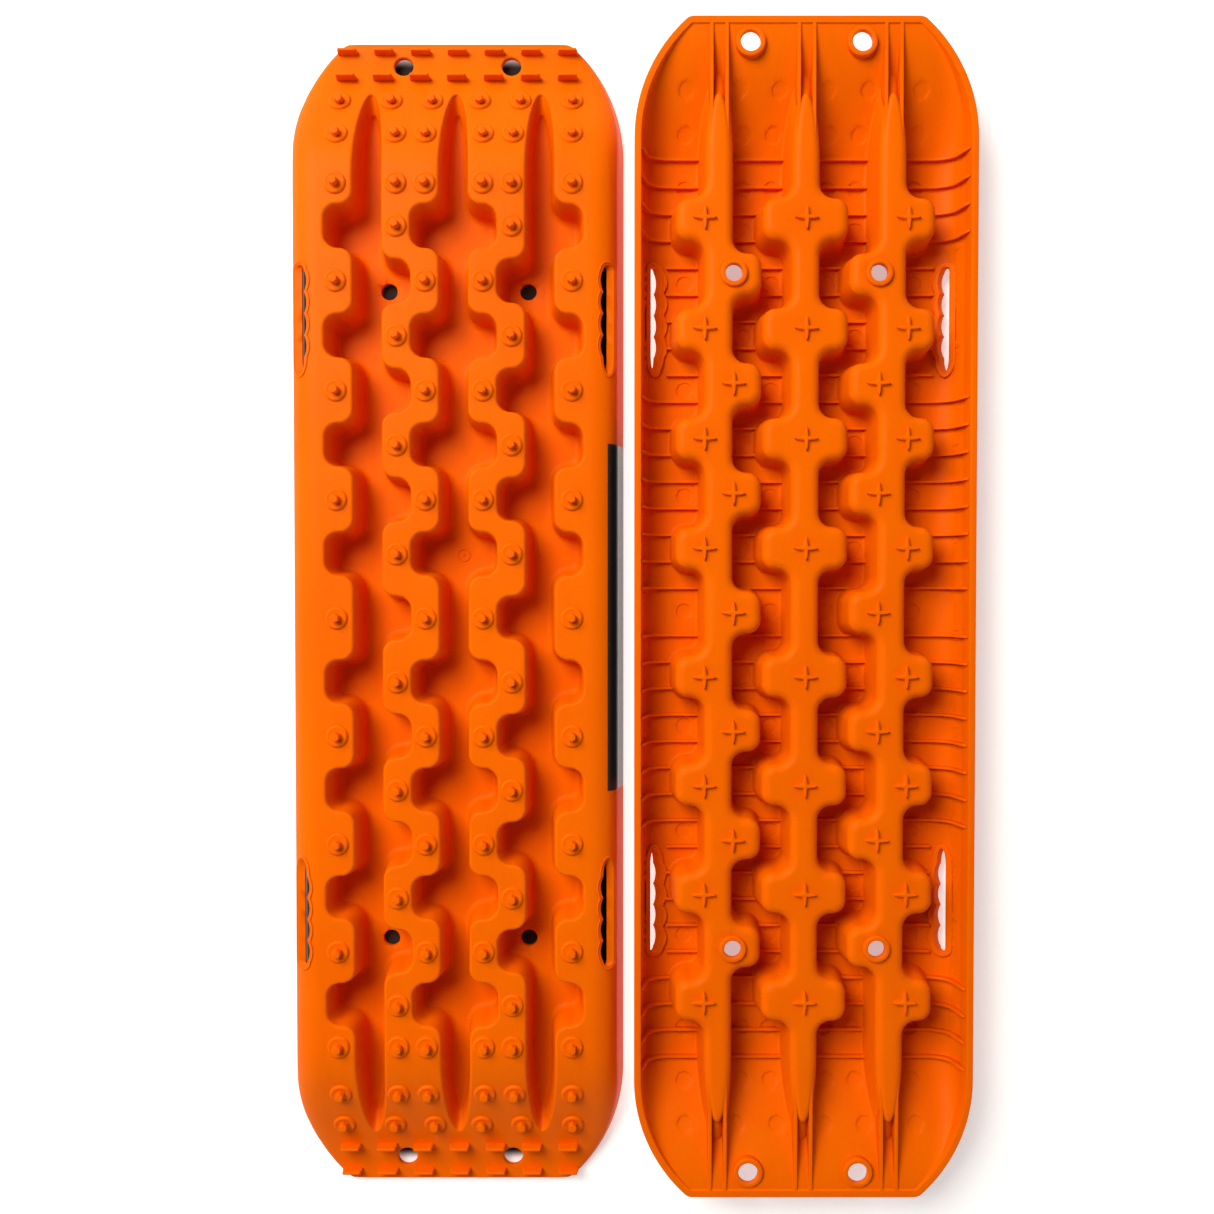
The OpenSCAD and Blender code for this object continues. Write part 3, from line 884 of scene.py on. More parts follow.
@dataclass
class DeckFeatures:
    """What stands on the deck and the ramps: studs and teeth."""

    sizes: TraySizes
    surface: TraySurface
    disc_r: float = 10.25
    disc_height: float = 2.5
    pin_r: float = 4.2
    tooth_width: float = 19.5
    tooth_thickness: float = 4.0
    tooth_pitch: float = 34.0
    tooth_rows: tuple[tuple[float, float], ...] = ((35.0, 11.5), (9.0, 9.5))
    ramp_rows: tuple[float, ...] = (-4.0, 43.0, 78.0)
    ramp_columns: tuple[tuple[float, float], ...] = ((1.0, 2.0), (1.0, 2.05), (0.84, 2.27))
    pin_corner: float = 6.0
    pin_levels: tuple[tuple[float, float], ...] = (
        (-0.3, 1.1), (1.8, 1.06), (9.2, 0.98), (9.8, 0.92), (10.0, 0.84)
    )

    def stud_places(self) -> Array:
        """Centres of all studs: rows on the lands by turns, then three rows on each ramp."""
        s = self.sizes
        outer = (3 * s.column + s.column / 2 + s.half_width - s.flank) / 2
        places = [(x, y) for y in s.rows_at(0) for x in (s.column, outer)]
        places += [(2 * s.column, y) for y in s.rows_at(1)]
        for ahead, shares in zip(self.ramp_rows, self.ramp_columns):
            across = [s.column * share for share in shares] + [outer]
            places += [(x, sign * (s.ramp_start + ahead)) for x in across for sign in (1, -1)]
        right = np.array(places)
        return np.vstack((right, right * (-1, 1)))

    def disc(self) -> Build:
        """A stud's disc, turned from a profile with a rounded edge and a dished top."""
        profile = np.array([[1.0, -0.6], [1.0, 0.2], [0.985, 0.45], [0.9, 0.85],
                            [0.82, 1.0], [0.74, 0.92], [0.6, 0.78]])
        return Build.solid(turned(profile * (self.disc_r, self.disc_height), 20))

    def pin(self) -> Build:
        """A stud's six-sided pin, narrowing upwards, with a bevelled top."""
        turn, half_side = self.pin_corner, 30.0
        around = np.radians(np.array([a + b for a in range(0, 360, 60) for b in (-turn, turn)]) + half_side)
        reach = self.pin_r * math.cos(math.radians(half_side)) / math.cos(math.radians(half_side - turn))
        loop = np.column_stack((np.cos(around), np.sin(around))) * reach
        return Build.solid(np.stack([lift(loop * share, z) for z, share in self.pin_levels]))

    def studs(self) -> Build:
        """All studs of a mat: each disc lies on the slope, each pin stands upright."""
        places = self.stud_places()
        y = places[:, 1]
        height = self.surface.deck_line(y)
        slope = np.arctan((self.surface.deck_line(y + 1) - self.surface.deck_line(y - 1)) / 2)
        tilt = np.zeros((len(y), 3, 3))
        tilt[:, 0, 0] = 1.0
        tilt[:, 1, 1] = tilt[:, 2, 2] = np.cos(slope)
        tilt[:, 1, 2], tilt[:, 2, 1] = -np.sin(slope), np.sin(slope)
        build = Build()
        build.copies(self.disc(), lift(places, height), tilt)
        build.copies(self.pin(), lift(places, height))
        return build

    def teeth(self) -> Build:
        """Rows of upright fins across both ends of the mat."""
        build = Build()
        across = np.arange(-3, 4) * self.tooth_pitch
        for from_end, tall in self.tooth_rows:
            y = self.sizes.half_length - from_end
            height = float(self.surface.deck_line(np.array(y)))
            half, thick = self.tooth_width / 2, self.tooth_thickness / 2
            levels = ((-2.5, 0.0, 1.0), (0.25 * tall, 0.4, 0.9), (tall - 1.0, 1.3, 0.66),
                      (tall - 0.3, 1.65, 0.55), (tall, 2.2, 0.3))
            rings = [lift(bar_outline(half - taper, thick * share), z) for z, taper, share in levels]
            places = np.array([(x, sign * y, height) for x in across for sign in (1, -1)])
            build.copies(Build.solid(np.stack(rings)), places)
        return build


def turned(profile: Array, around: int) -> Array:
    """A profile carried round the Z axis.

    Args:
        profile: Radius and height of each level.
        around: Number of points round each level.

    Returns:
        One closed ring of points for each level: radius times (cosine, sine), and height.
    """
    angle = np.linspace(0.0, 2 * np.pi, around, endpoint=False)
    x = profile[:, :1] * np.cos(angle)
    y = profile[:, :1] * np.sin(angle)
    return np.stack((x, y, np.broadcast_to(profile[:, 1:], x.shape)), axis=-1)


def bar_outline(half_length: float, half_width: float) -> Array:
    """Outline of a bar along X with rounded corners: a superellipse at each end."""
    angle = np.radians(np.linspace(-90.0, 90.0, 7))
    end = np.column_stack((np.cos(angle), np.sin(angle)))
    round_end = np.sign(end) * np.abs(end) ** 0.6
    right = round_end * (min(half_width * 0.9, half_length), half_width)
    right[:, 0] += half_length - min(half_width * 0.9, half_length)
    return np.vstack((right, -right))


@dataclass
class UnderFeatures:
    """What stands on the underside: ribs, grip crosses, pin bosses, eyelet collars, finger-hole pads."""

    sizes: TraySizes
    surface: TraySurface
    channels: list[Channel]
    moulding: Moulding
    hole: FingerHole
    rib_thickness: float = 2.6
    rib_depth: float = 4.6
    rib_pitch: float = 24.7
    first_rib: float = 22.0
    ribs: int = 17
    rib_bury: float = 1.3
    wall_bury: float = 1.8
    rim_clear: float = 7.0
    pad_clear: float = 6.0
    nose_gap: float = 13.7
    nose_thickness: float = 3.4
    nose_start: float = 421.0
    nose_cover: float = 1.2
    cross_span: float = 22.0
    cross_arm: float = 5.0
    boss_bore: float = 15.5
    boss_d: float = 24.5
    eyelet_bore: float = 18.0
    collar_d: float = 27.0
    pad_end_x: float = 123.5
    pad_lobe: float = 1.6
    pad_width: float = 4.0
    pad_depth: float = 3.2
    pad_dish: float = 1.3
    hole_overlap: float = 0.15
    bead_out: float = 2.6
    bead_r: float = 0.8

    def rib_spans(self) -> Array:
        """Where each cross rib starts and stops on the right half, as rows of place along, start and stop."""
        _, centre, right = self.channels
        spans = []
        grow = centre.wall_below_root() - self.wall_bury
        pocket = self.hole.length / 2 + self.pad_clear
        for step in range(self.ribs):
            for y in (self.first_rib + step * self.rib_pitch, -self.first_rib - step * self.rib_pitch):
                inner = centre.reach_at(y, centre.right, grow)
                outer = right.centre - right.reach_at(y, right.left, grow)
                flank = right.centre + right.reach_at(y, right.right, grow)
                rim = self.rim_x(y) - self.rim_clear
                if abs(abs(y) - self.hole.middle) < pocket:
                    rim = self.pad_end_x
                spans += [(y, inner, outer), (y, flank, rim)]
        return np.array(spans)

    def rim_x(self, y: float) -> float:
        """Distance from the centreline to the outline at a place along the mat."""
        past = abs(y) - self.surface.big[1]
        s = self.sizes
        return s.half_width if past < 0 else self.surface.big[0] + math.sqrt(s.corner_r**2 - past**2)

    def bar(self, centre_line: Array, across: Array, roof: Array, edge: Array, half: float) -> Array:
        """Rings of an upright bar that runs under the skin.

        Args:
            centre_line: Points along the bar, in the plan.
            across: Unit vector across it, in the plan.
            roof: Height of its buried side, at each point.
            edge: Height of its free edge, at each point.
            half: Half of its thickness.

        Returns:
            One ring for each point: full thickness at the roof, a little thinner and rounded at the edge.
        """
        shares = np.array([1.0, 0.92, 0.84, 0.66, -0.66, -0.84, -0.92, -1.0])
        rise = np.array([0.0, 0.5, 0.15, 0.0, 0.0, 0.15, 0.5, 0.0])
        plan = centre_line[:, None, :] + shares[None, :, None] * half * across
        z = edge[:, None] + rise[None, :]
        z[:, 0] = z[:, -1] = roof
        return np.concatenate((plan, z[..., None]), axis=-1)

    def cross_ribs(self) -> Build:
        """All cross ribs: each spans from wall to wall, and down the flank to the rim."""
        build = Build()
        s = self.sizes
        for y, start, stop in self.rib_spans():
            x = np.linspace(start, stop, 18 if stop > 100 else 5)
            line = np.column_stack((x, np.full(len(x), y)))
            roof = self.surface.skin(x, np.full(len(x), y), s.wall) + self.rib_bury
            edge = self.surface.skin(x, np.full(len(x), y), s.wall + self.rib_depth)
            edge = np.minimum(edge, roof - self.rib_bury - 0.4)
            for side in (1, -1):
                rings = self.bar(line * (side, 1), np.array([0.0, 1.0]), roof, edge, self.rib_thickness / 2)
                build.loft(rings, cap_first=True, cap_last=True)
        return build

    def nose_ribs(self) -> Build:
        """Pairs of tall ribs from each channel's nose to the end rim."""
        build = Build()
        y = np.linspace(self.nose_start, self.sizes.half_length - 5.0, 30)
        for channel in self.channels:
            for offset in (-self.nose_gap / 2, self.nose_gap / 2):
                x = np.full(len(y), channel.centre + offset)
                roof = self.surface.skin(x, y, self.sizes.wall) + self.rib_bury
                nose = channel.nose_height(y, abs(offset) - self.nose_thickness / 2, self.surface)
                roof = np.minimum(roof, nose - self.nose_cover)
                edge = np.minimum(np.full(len(y), self.sizes.rim_lift + 0.2), roof - 0.5)
                for sign in (1, -1):
                    line = np.column_stack((x, sign * y))
                    rings = self.bar(line, np.array([1.0, 0.0]), roof, edge, self.nose_thickness / 2)
                    build.loft(rings, cap_first=True, cap_last=True)
        return build

    def cross_places(self) -> Array:
        """Centres of the grip crosses: along the centre channel and on both sides of the side channels."""
        s = self.sizes
        even, odd = s.rows_at(0), s.rows_at(1)
        side = 3 * s.column
        inner = [(self.moulding.boss_x, y) for y in even if abs(y) < self.moulding.boss_y - 1]
        right = np.array(inner + [(side + s.column / 2, y) for y in odd])
        return np.vstack((right, right * (-1, 1), np.array([(0.0, y) for y in odd])))

    def crosses(self) -> Build:
        """All grip crosses: four arms that end in a point, narrower towards the cross's free side."""
        half, arm = self.cross_span / 2, self.cross_arm / 2
        levels = ((self.sizes.cross_height + 1.8, 1.0, 1.0), (2.6, 0.985, 0.88), (0.9, 0.965, 0.72),
                  (0.25, 0.95, 0.62), (0.0, 0.93, 0.44))
        turns = np.array([[[1, 0], [0, 1]], [[0, -1], [1, 0]], [[-1, 0], [0, -1]], [[0, 1], [-1, 0]]])
        side = np.array([[0.5, 0.86], [0.82, 0.55]])
        rings = []
        for z, reach, thick in levels:
            long, wide = half * reach, arm * thick
            flank = side * (long, wide)
            one = np.vstack(([[wide, -wide]], flank * (1, -1), [[long, 0.0]], flank[::-1]))
            rings.append(lift(np.vstack([one @ turn.T for turn in turns]), z))
        build = Build()
        build.copies(Build.solid(np.stack(rings)), lift(self.cross_places(), 0.0))
        return build

    def bosses(self) -> Build:
        """Four raised rings round the pin holes, with rounded edges."""
        bore, rim = self.boss_bore / 2, self.boss_d / 2
        profile = np.array([[bore, 6.6], [bore, 1.1], [bore + 0.3, 0.4], [bore + 1.0, 0.0], [rim - 1.5, 0.0],
                            [rim - 0.5, 0.35], [rim, 1.2], [rim + 0.25, 4.2], [bore + 1.2, 6.6], [bore, 6.6]])
        ring = Build()
        ring.loft(turned(profile, 40))
        places = np.array(four_ways(np.array([self.moulding.boss_x, self.moulding.boss_y])))
        build = Build()
        build.copies(ring, lift(places, 0.0))
        return build

    def eyelet_collars(self) -> Build:
        """Four collars round the eyelets, from the rim's level up into the ramp."""
        bore, rim, low = self.eyelet_bore / 2, self.collar_d / 2, self.sizes.rim_lift
        profile = np.array([[bore, 0.0], [bore, low + 0.9], [bore + 0.35, low + 0.25], [bore + 1.1, low],
                            [rim - 1.4, low], [rim - 0.45, low + 0.35], [rim, low + 1.3], [rim, 0.0],
                            [bore + 1.5, 0.0], [bore, 0.0]])
        build = Build()
        for x, y in four_ways(np.array([self.moulding.eyelet_x, self.moulding.eyelet_y])):
            rings = turned(profile, 40) + (x, y, 0.0)
            lid = self.surface.top(rings[..., 0], rings[..., 1])
            rings[0, :, 2] = rings[-1, :, 2] = lid[0] - 1.0
            rings[8, :, 2] = lid[8] - 1.2
            rings[7, :, 2] = lid[7] - 2.2
            build.loft(rings)
        return build

    def grip_pads(self) -> Build:
        """Four pads under the finger holes: lobed towards the middle, and dished for each finger."""
        build, hole = Build(), self.hole
        low = hole.lower()
        inner, wide = low.outline(-self.hole_overlap), low.outline(self.pad_width)
        toward = np.clip((low.outer_x - 3.0 - inner[:, 0]) / 9.0, 0.0, 1.0)
        along = np.clip((hole.middle + hole.length / 2 - inner[:, 1]) / (hole.length - 8.0), 0.0, 1.0)
        lobe = np.abs(np.sin(np.pi * hole.scallops * along)) ** 0.6
        outer = wide.copy()
        outer[:, 0] = wide[:, 0] - toward * self.pad_lobe * lobe
        rows = []
        for share in (0.0, 0.04, 0.3, 0.6, 0.9, 1.0):
            loop = inner * (1 - share) + outer * share
            skin = self.surface.skin(loop[:, 0], loop[:, 1], self.sizes.wall)
            dish = self.pad_dish * lobe * toward * math.sin(math.pi * share)
            rows.append(lift(loop, skin - self.pad_depth + dish + (0.5 if share in (0.0, 1.0) else 0.0)))
        buried = lift(outer, self.surface.skin(outer[:, 0], outer[:, 1], self.sizes.wall) + 1.2)
        lip = hole.outline(-self.hole_overlap)
        lining = lift(lip, self.surface.top(lip[:, 0], lip[:, 1]) - 1.2)
        for rings in four_ways(np.stack([lining, *rows, buried, lining])):
            build.loft(rings)
        return build

    def grip_beads(self) -> Build:
        """A thin raised line round each finger hole on the upper side."""
        build = Build()
        rows = []
        for angle in np.radians(np.linspace(0.0, 360.0, 9)):
            loop = self.hole.outline(self.bead_out + self.bead_r * math.cos(angle))
            z = self.surface.top(loop[:, 0], loop[:, 1]) + 0.25 + self.bead_r * math.sin(angle)
            rows.append(lift(loop, z))
        for rings in four_ways(np.stack(rows)):
            build.loft(rings)
        return build


@dataclass
class Label:
    """A blank black strip stuck along the right flank."""

    sizes: TraySizes
    surface: TraySurface
    length: float = 316.0
    upper_inset: float = 15.0
    lower_inset: float = 0.35
    proud: float = 0.3
    bury: float = 0.4

    def build(self) -> Build:
        """The strip: its section across the flank carried along the mat, thinner at both ends."""
        depth = np.linspace(self.lower_inset, self.upper_inset, 40)
        x = self.sizes.half_width - depth
        z = self.surface.top(x, np.zeros_like(x))
        run = np.gradient(np.column_stack((x, z)), axis=0)
        run /= np.linalg.norm(run, axis=1)[:, None]
        out = np.column_stack((run[:, 1], -run[:, 0]))
        out *= np.sign(out[:, :1])
        skin = np.column_stack((x, z))
        face, back = skin + out * self.proud, skin - out * self.bury
        first, last = (face[[0, -1]] + back[[0, -1]]) * 0.5
        ends = (first + (face[0] - first) * 0.8, last + (face[-1] - last) * 0.8)
        section = np.vstack((ends[0], face[1:-1], ends[1], last, back[::-1]))
        half = self.length / 2
        stops = np.array([-half, -half + 0.25, *np.linspace(-half + 0.6, half - 0.6, 33), half - 0.25, half])
        edge = np.ones(len(stops))
        edge[[0, -1]], edge[[1, -2]] = 0.0, 0.8
        middle = section.copy()
        count = len(face)
        middle[:count] = middle[:count] * 0.25 + skin * 0.75
        plan = section[None] * edge[:, None, None] + middle[None] * (1 - edge[:, None, None])
        y = np.broadcast_to(stops[:, None, None], (len(stops), len(section), 1))
        return Build.solid(np.concatenate((plan[..., :1], y, plan[..., 1:]), axis=-1))


@dataclass
class GateMark:
    """The small raised ring that the injection gate leaves on the centre channel's floor."""

    sizes: TraySizes
    x: float = 4.0
    radius: float = 5.6

    def build(self) -> Build:
        """A low ridge turned round the gate, and the gate's own stub."""
        base = self.sizes.floor
        ridge = np.array([[-0.9, -0.5], [-0.7, 0.5], [-0.3, 0.9], [0.3, 0.9], [0.7, 0.5], [0.9, -0.5],
                          [-0.9, -0.5]])
        stub = np.array([[1.7, -0.5], [1.6, 0.2], [1.2, 0.5], [0.5, 0.6]])
        place = np.array([self.x, self.sizes.row_y(1), base])
        build = Build()
        build.loft(turned(ridge + (self.radius, 0.0), 28) + place)
        build.loft(turned(stub, 16) + place, cap_first=True, cap_last=True)
        return build


class Socket:
    """A node's output that can be used in sums, so that shader maths reads as plain maths."""

    def __init__(self, finish: "Nodes", output: bpy.types.NodeSocket) -> None:
        """Args:
            finish: The node tree's builder.
            output: The output that is wrapped.
        """
        self.nodes = finish
        self.output = output

    def _maths(self, operation: str, *values: "Socket | float") -> "Socket":
        """Adds a Math node."""
        return self.nodes.add("ShaderNodeMath", {"operation": operation}, dict(enumerate(values)))

    def __add__(self, other: "Socket | float") -> "Socket":
        """Sum."""
        return self._maths("ADD", self, other)

    __radd__ = __add__

    def __mul__(self, other: "Socket | float") -> "Socket":
        """Product."""
        return self._maths("MULTIPLY", self, other)

    __rmul__ = __mul__

    def __sub__(self, other: "Socket | float") -> "Socket":
        """Difference."""
        return self._maths("SUBTRACT", self, other)

    def __rsub__(self, other: float) -> "Socket":
        """Difference from a number."""
        return self._maths("SUBTRACT", other, self)

    def between(self, low: float, high: float) -> "Socket":
        """The value from 0 at low to 1 at high, smoothed and held at both ends."""
        inputs = {"Value": self, "From Min": low, "From Max": high}
        return self.nodes.add("ShaderNodeMapRange", {"interpolation_type": "SMOOTHSTEP"}, inputs)


class Nodes:
    """Builds one material's nodes."""

    def __init__(self, name: str) -> None:
        """Args:
            name: The material's name.
        """
        self.material = bpy.data.materials.new(name)
        self.material.use_nodes = True
        self.tree = self.material.node_tree
        self.tree.nodes.clear()

    def add(self, kind: str, settings: dict[str, object] | None = None, inputs: dict | None = None,
            output: int | str = 0) -> Socket:
        """Adds a node.

        Args:
            kind: The node's type.
            settings: Its settings, which are set first.
            inputs: Values or links of its sockets, by name or number.
            output: Which output is wanted.

        Returns:
            The wanted output, wrapped.
        """
        node = self.tree.nodes.new(kind)
        for key, value in (settings or {}).items():
            setattr(node, key, value)
        for key, value in (inputs or {}).items():
            if isinstance(value, Socket):
                self.tree.links.new(value.output, node.inputs[key])
            else:
                node.inputs[key].default_value = value
        return Socket(self, node.outputs[output]) if len(node.outputs) else Socket(self, None)

    def place(self) -> Socket:
        """Object coordinates."""
        return self.add("ShaderNodeTexCoord", output="Object")

    def noise(self, where: Socket, scale: float, detail: float = 2.0, roughness: float = 0.5) -> Socket:
        """A noise value from 0 to 1.

        Args:
            where: Where it is looked up.
            scale: Cells in a metre.
            detail: Octaves.
            roughness: Strength of the finer octaves.

        Returns:
            The noise's value.
        """
        inputs = {"Vector": where, "Scale": scale, "Detail": detail, "Roughness": roughness}
        return self.add("ShaderNodeTexNoise", inputs=inputs)

    def parts(self, vector: Socket) -> tuple[Socket, Socket, Socket]:
        """The three coordinates of a vector."""
        split = self.add("ShaderNodeSeparateXYZ", inputs={0: vector})
        return tuple(Socket(self, output) for output in split.output.node.outputs)

    def size_of(self, value: Socket) -> Socket:
        """A value without its sign."""
        return self.add("ShaderNodeMath", {"operation": "ABSOLUTE"}, {0: value})

    def mix(self, share: Socket | float, first: object, second: object) -> Socket:
        """Mixes two colours.

        Args:
            share: Share of the second colour.
            first: A colour, or a link.
            second: A colour, or a link.

        Returns:
            The mixed colour.
        """
        return self.add("ShaderNodeMix", {"data_type": "RGBA"}, {0: share, 6: first, 7: second}, output=2)

    def stretched(self, where: Socket, scale: tuple[float, float, float]) -> Socket:
        """Coordinates stretched along the axes."""
        return self.add("ShaderNodeMapping", inputs={"Vector": where, "Scale": scale})

    def bump(self, height: Socket, strength: float, distance: float, normal: Socket | None = None) -> Socket:
        """A bumped normal.

        Args:
            height: The height, from 0 to 1.
            strength: Share of the bump that counts.
            distance: Depth of the bump in metres.
            normal: A normal that this bump is laid over.

        Returns:
            The normal.
        """
        inputs = {"Height": height, "Strength": strength, "Distance": distance}
        if normal is not None:
            inputs["Normal"] = normal
        return self.add("ShaderNodeBump", inputs=inputs)

    def finish(self, inputs: dict[str, object]) -> bpy.types.Material:
        """Ends the material with one shader.

        Args:
            inputs: The shader's values and links.

        Returns:
            The material.
        """
        shader = self.add("ShaderNodeBsdfPrincipled", inputs=inputs)
        self.add("ShaderNodeOutputMaterial", inputs={"Surface": shader})
        return self.material


@dataclass(frozen=True)
class MouldedNylon:
    """Orange nylon, as moulded: fine spark-eroded grain, faint flow streaks, light rubs from stacking.

    A scale is in cells in a metre. A depth is in metres.
    """

    base: tuple[float, float, float, float] = (0.8, 0.128, 0.0, 1.0)
    deep: tuple[float, float, float, float] = (0.76, 0.104, 0.0, 1.0)
    pale: tuple[float, float, float, float] = (0.9, 0.2, 0.01, 1.0)
    roughness: float = 0.4
    specular: float = 0.035
    cloud_scale: float = 9.0
    rub_area_scale: float = 26.0
    streak_stretch: tuple[float, float, float] = (55.0, 7.0, 55.0)
    rub_stretch: tuple[float, float, float] = (900.0, 60.0, 900.0)
    grain_scale: float = 1500.0
    grain_depth: float = 0.00012
    pebble_scale: float = 420.0
    pebble_depth: float = 0.00022

    def material(self) -> bpy.types.Material:
        """Builds the material.

        Returns:
            Colour from slow clouds, streaks along the mat and pale rubs. Roughness and bump from the grain.
        """
        nodes = Nodes("orange_nylon")
        where = nodes.place()
        clouds = nodes.noise(where, self.cloud_scale, 3.0)
        streaks = nodes.noise(nodes.stretched(where, self.streak_stretch), 1.0, 4.0, 0.6)
        grain = nodes.noise(where, self.grain_scale, 2.0, 0.6)
        pebbles = nodes.noise(where, self.pebble_scale, 2.0, 0.5)
        rub_lines = nodes.noise(nodes.stretched(where, self.rub_stretch), 1.0, 3.0, 0.7)
        rub_area = nodes.noise(where, self.rub_area_scale, 2.0)
        rubs = rub_lines.between(0.62, 0.78) * rub_area.between(0.5, 0.72)
        tint = clouds.between(0.3, 0.72) * 0.5 + streaks.between(0.35, 0.75) * 0.3
        colour = nodes.mix(tint, self.base, self.deep)
        colour = nodes.mix(rubs * 0.3, colour, self.pale)
        rough = self.roughness + (pebbles - 0.5) * 0.14 + (streaks - 0.5) * 0.12 + rubs * 0.12
        normal = nodes.bump(pebbles, 0.35, self.pebble_depth)
        normal = nodes.bump(grain, 0.4, self.grain_depth, normal)
        inputs = {"Base Color": colour, "Roughness": rough, "Normal": normal}
        return nodes.finish({**inputs, "Specular IOR Level": self.specular})


@dataclass(frozen=True)
class BlackFilm:
    """Satin black label film with a faint orange-peel and handling marks."""

    base: tuple[float, float, float, float] = (0.012, 0.012, 0.013, 1.0)
    worn: tuple[float, float, float, float] = (0.03, 0.03, 0.03, 1.0)
    roughness: float = 0.3
    peel_scale: float = 240.0
    peel_depth: float = 0.0001
    mark_stretch: tuple[float, float, float] = (700.0, 40.0, 700.0)

    def material(self) -> bpy.types.Material:
        """Builds the material: fine marks lighten the colour and dull the gloss, over a shallow ripple."""
        nodes = Nodes("label_film")
        where = nodes.place()
        peel = nodes.noise(where, self.peel_scale, 2.0)
        lines = nodes.noise(nodes.stretched(where, self.mark_stretch), 1.0, 3.0, 0.7)
        marks = lines.between(0.6, 0.8)
        colour = nodes.mix(marks * 0.6, self.base, self.worn)
        rough = self.roughness + marks * 0.2 + (peel - 0.5) * 0.1
        normal = nodes.bump(peel, 0.3, self.peel_depth)
        return nodes.finish({"Base Color": colour, "Roughness": rough, "Normal": normal})


@dataclass(frozen=True)
class StudioPaper:
    """The pale floor, which glows a little as painted light: painted shade makes it dark under the studs-up
    mat, and painted light makes it brighter between the mats.

    Every pair is where an area starts and ends to fade, in metres from the middle of the floor. It is
    counted across, or along the mats for the ones named so.
    """

    base: tuple[float, float, float, float] = (0.86, 0.86, 0.86, 1.0)
    warm: tuple[float, float, float, float] = (0.84, 0.84, 0.835, 1.0)
    # painted shade: the floor's colour under the studs-up mat
    shade: tuple[float, float, float, float] = (0.014, 0.006, 0.004, 1.0)
    # painted light: the emission of the whole floor, which also lights the mats
    glow: tuple[float, float, float, float] = (0.4, 0.4, 0.4, 1.0)
    # painted light: stronger emission in the strip between the mats, where their shadow would fall
    bright_gap: tuple[float, float, float, float] = (0.8, 0.8, 0.8, 1.0)
    mat_inner: tuple[float, float] = (0.005, 0.012)
    mat_outer: tuple[float, float] = (0.302, 0.311)
    mat_straight_along: tuple[float, float] = (0.4, 0.43)
    nose_inner: tuple[float, float] = (0.08, 0.1)
    nose_outer: tuple[float, float] = (0.225, 0.245)
    nose_along: tuple[float, float] = (0.51, 0.525)
    studs_up_side: tuple[float, float] = (-0.01, 0.01)
    gap_across: tuple[float, float] = (0.006, 0.03)
    gap_along: tuple[float, float] = (0.4, 0.55)

    def material(self) -> bpy.types.Material:
        """Builds the material: matt white with a very faint cloud, and emission that is painted light.

        Returns:
            The material. Under the studs-up mat the floor is painted near black as shade and nothing there
            glows, so that its holes look dark.
        """
        nodes = Nodes("studio_floor")
        cloud = nodes.noise(nodes.place(), 3.0, 2.0)
        colour = nodes.mix(cloud, self.base, self.warm)
        side, along, _ = nodes.parts(nodes.place())
        across, along = nodes.size_of(side), nodes.size_of(along)
        # Painted shade: under the studs-up mat the floor is made near black and its emission is switched off.
        middle = across.between(*self.mat_inner) * (1 - across.between(*self.mat_outer))
        middle = middle * (1 - along.between(*self.mat_straight_along))
        ends = across.between(*self.nose_inner) * (1 - across.between(*self.nose_outer))
        ends = ends * (1 - along.between(*self.nose_along))
        painted_shade_area = (middle + ends).between(0.0, 1.0) * (1 - side.between(*self.studs_up_side))
        colour = nodes.mix(painted_shade_area, colour, self.shade)
        # Painted light: the floor emits twice as much in the strip between the mats, so that no shadow shows
        # there.
        gap = (1 - across.between(*self.gap_across)) * (1 - along.between(*self.gap_along))
        glow = nodes.mix(gap, self.glow, self.bright_gap)
        glow = nodes.mix(painted_shade_area, glow, (0.0, 0.0, 0.0, 1.0))
        inputs = {"Base Color": colour, "Roughness": 0.9}
        return nodes.finish({**inputs, "Emission Color": glow, "Emission Strength": 1.0})


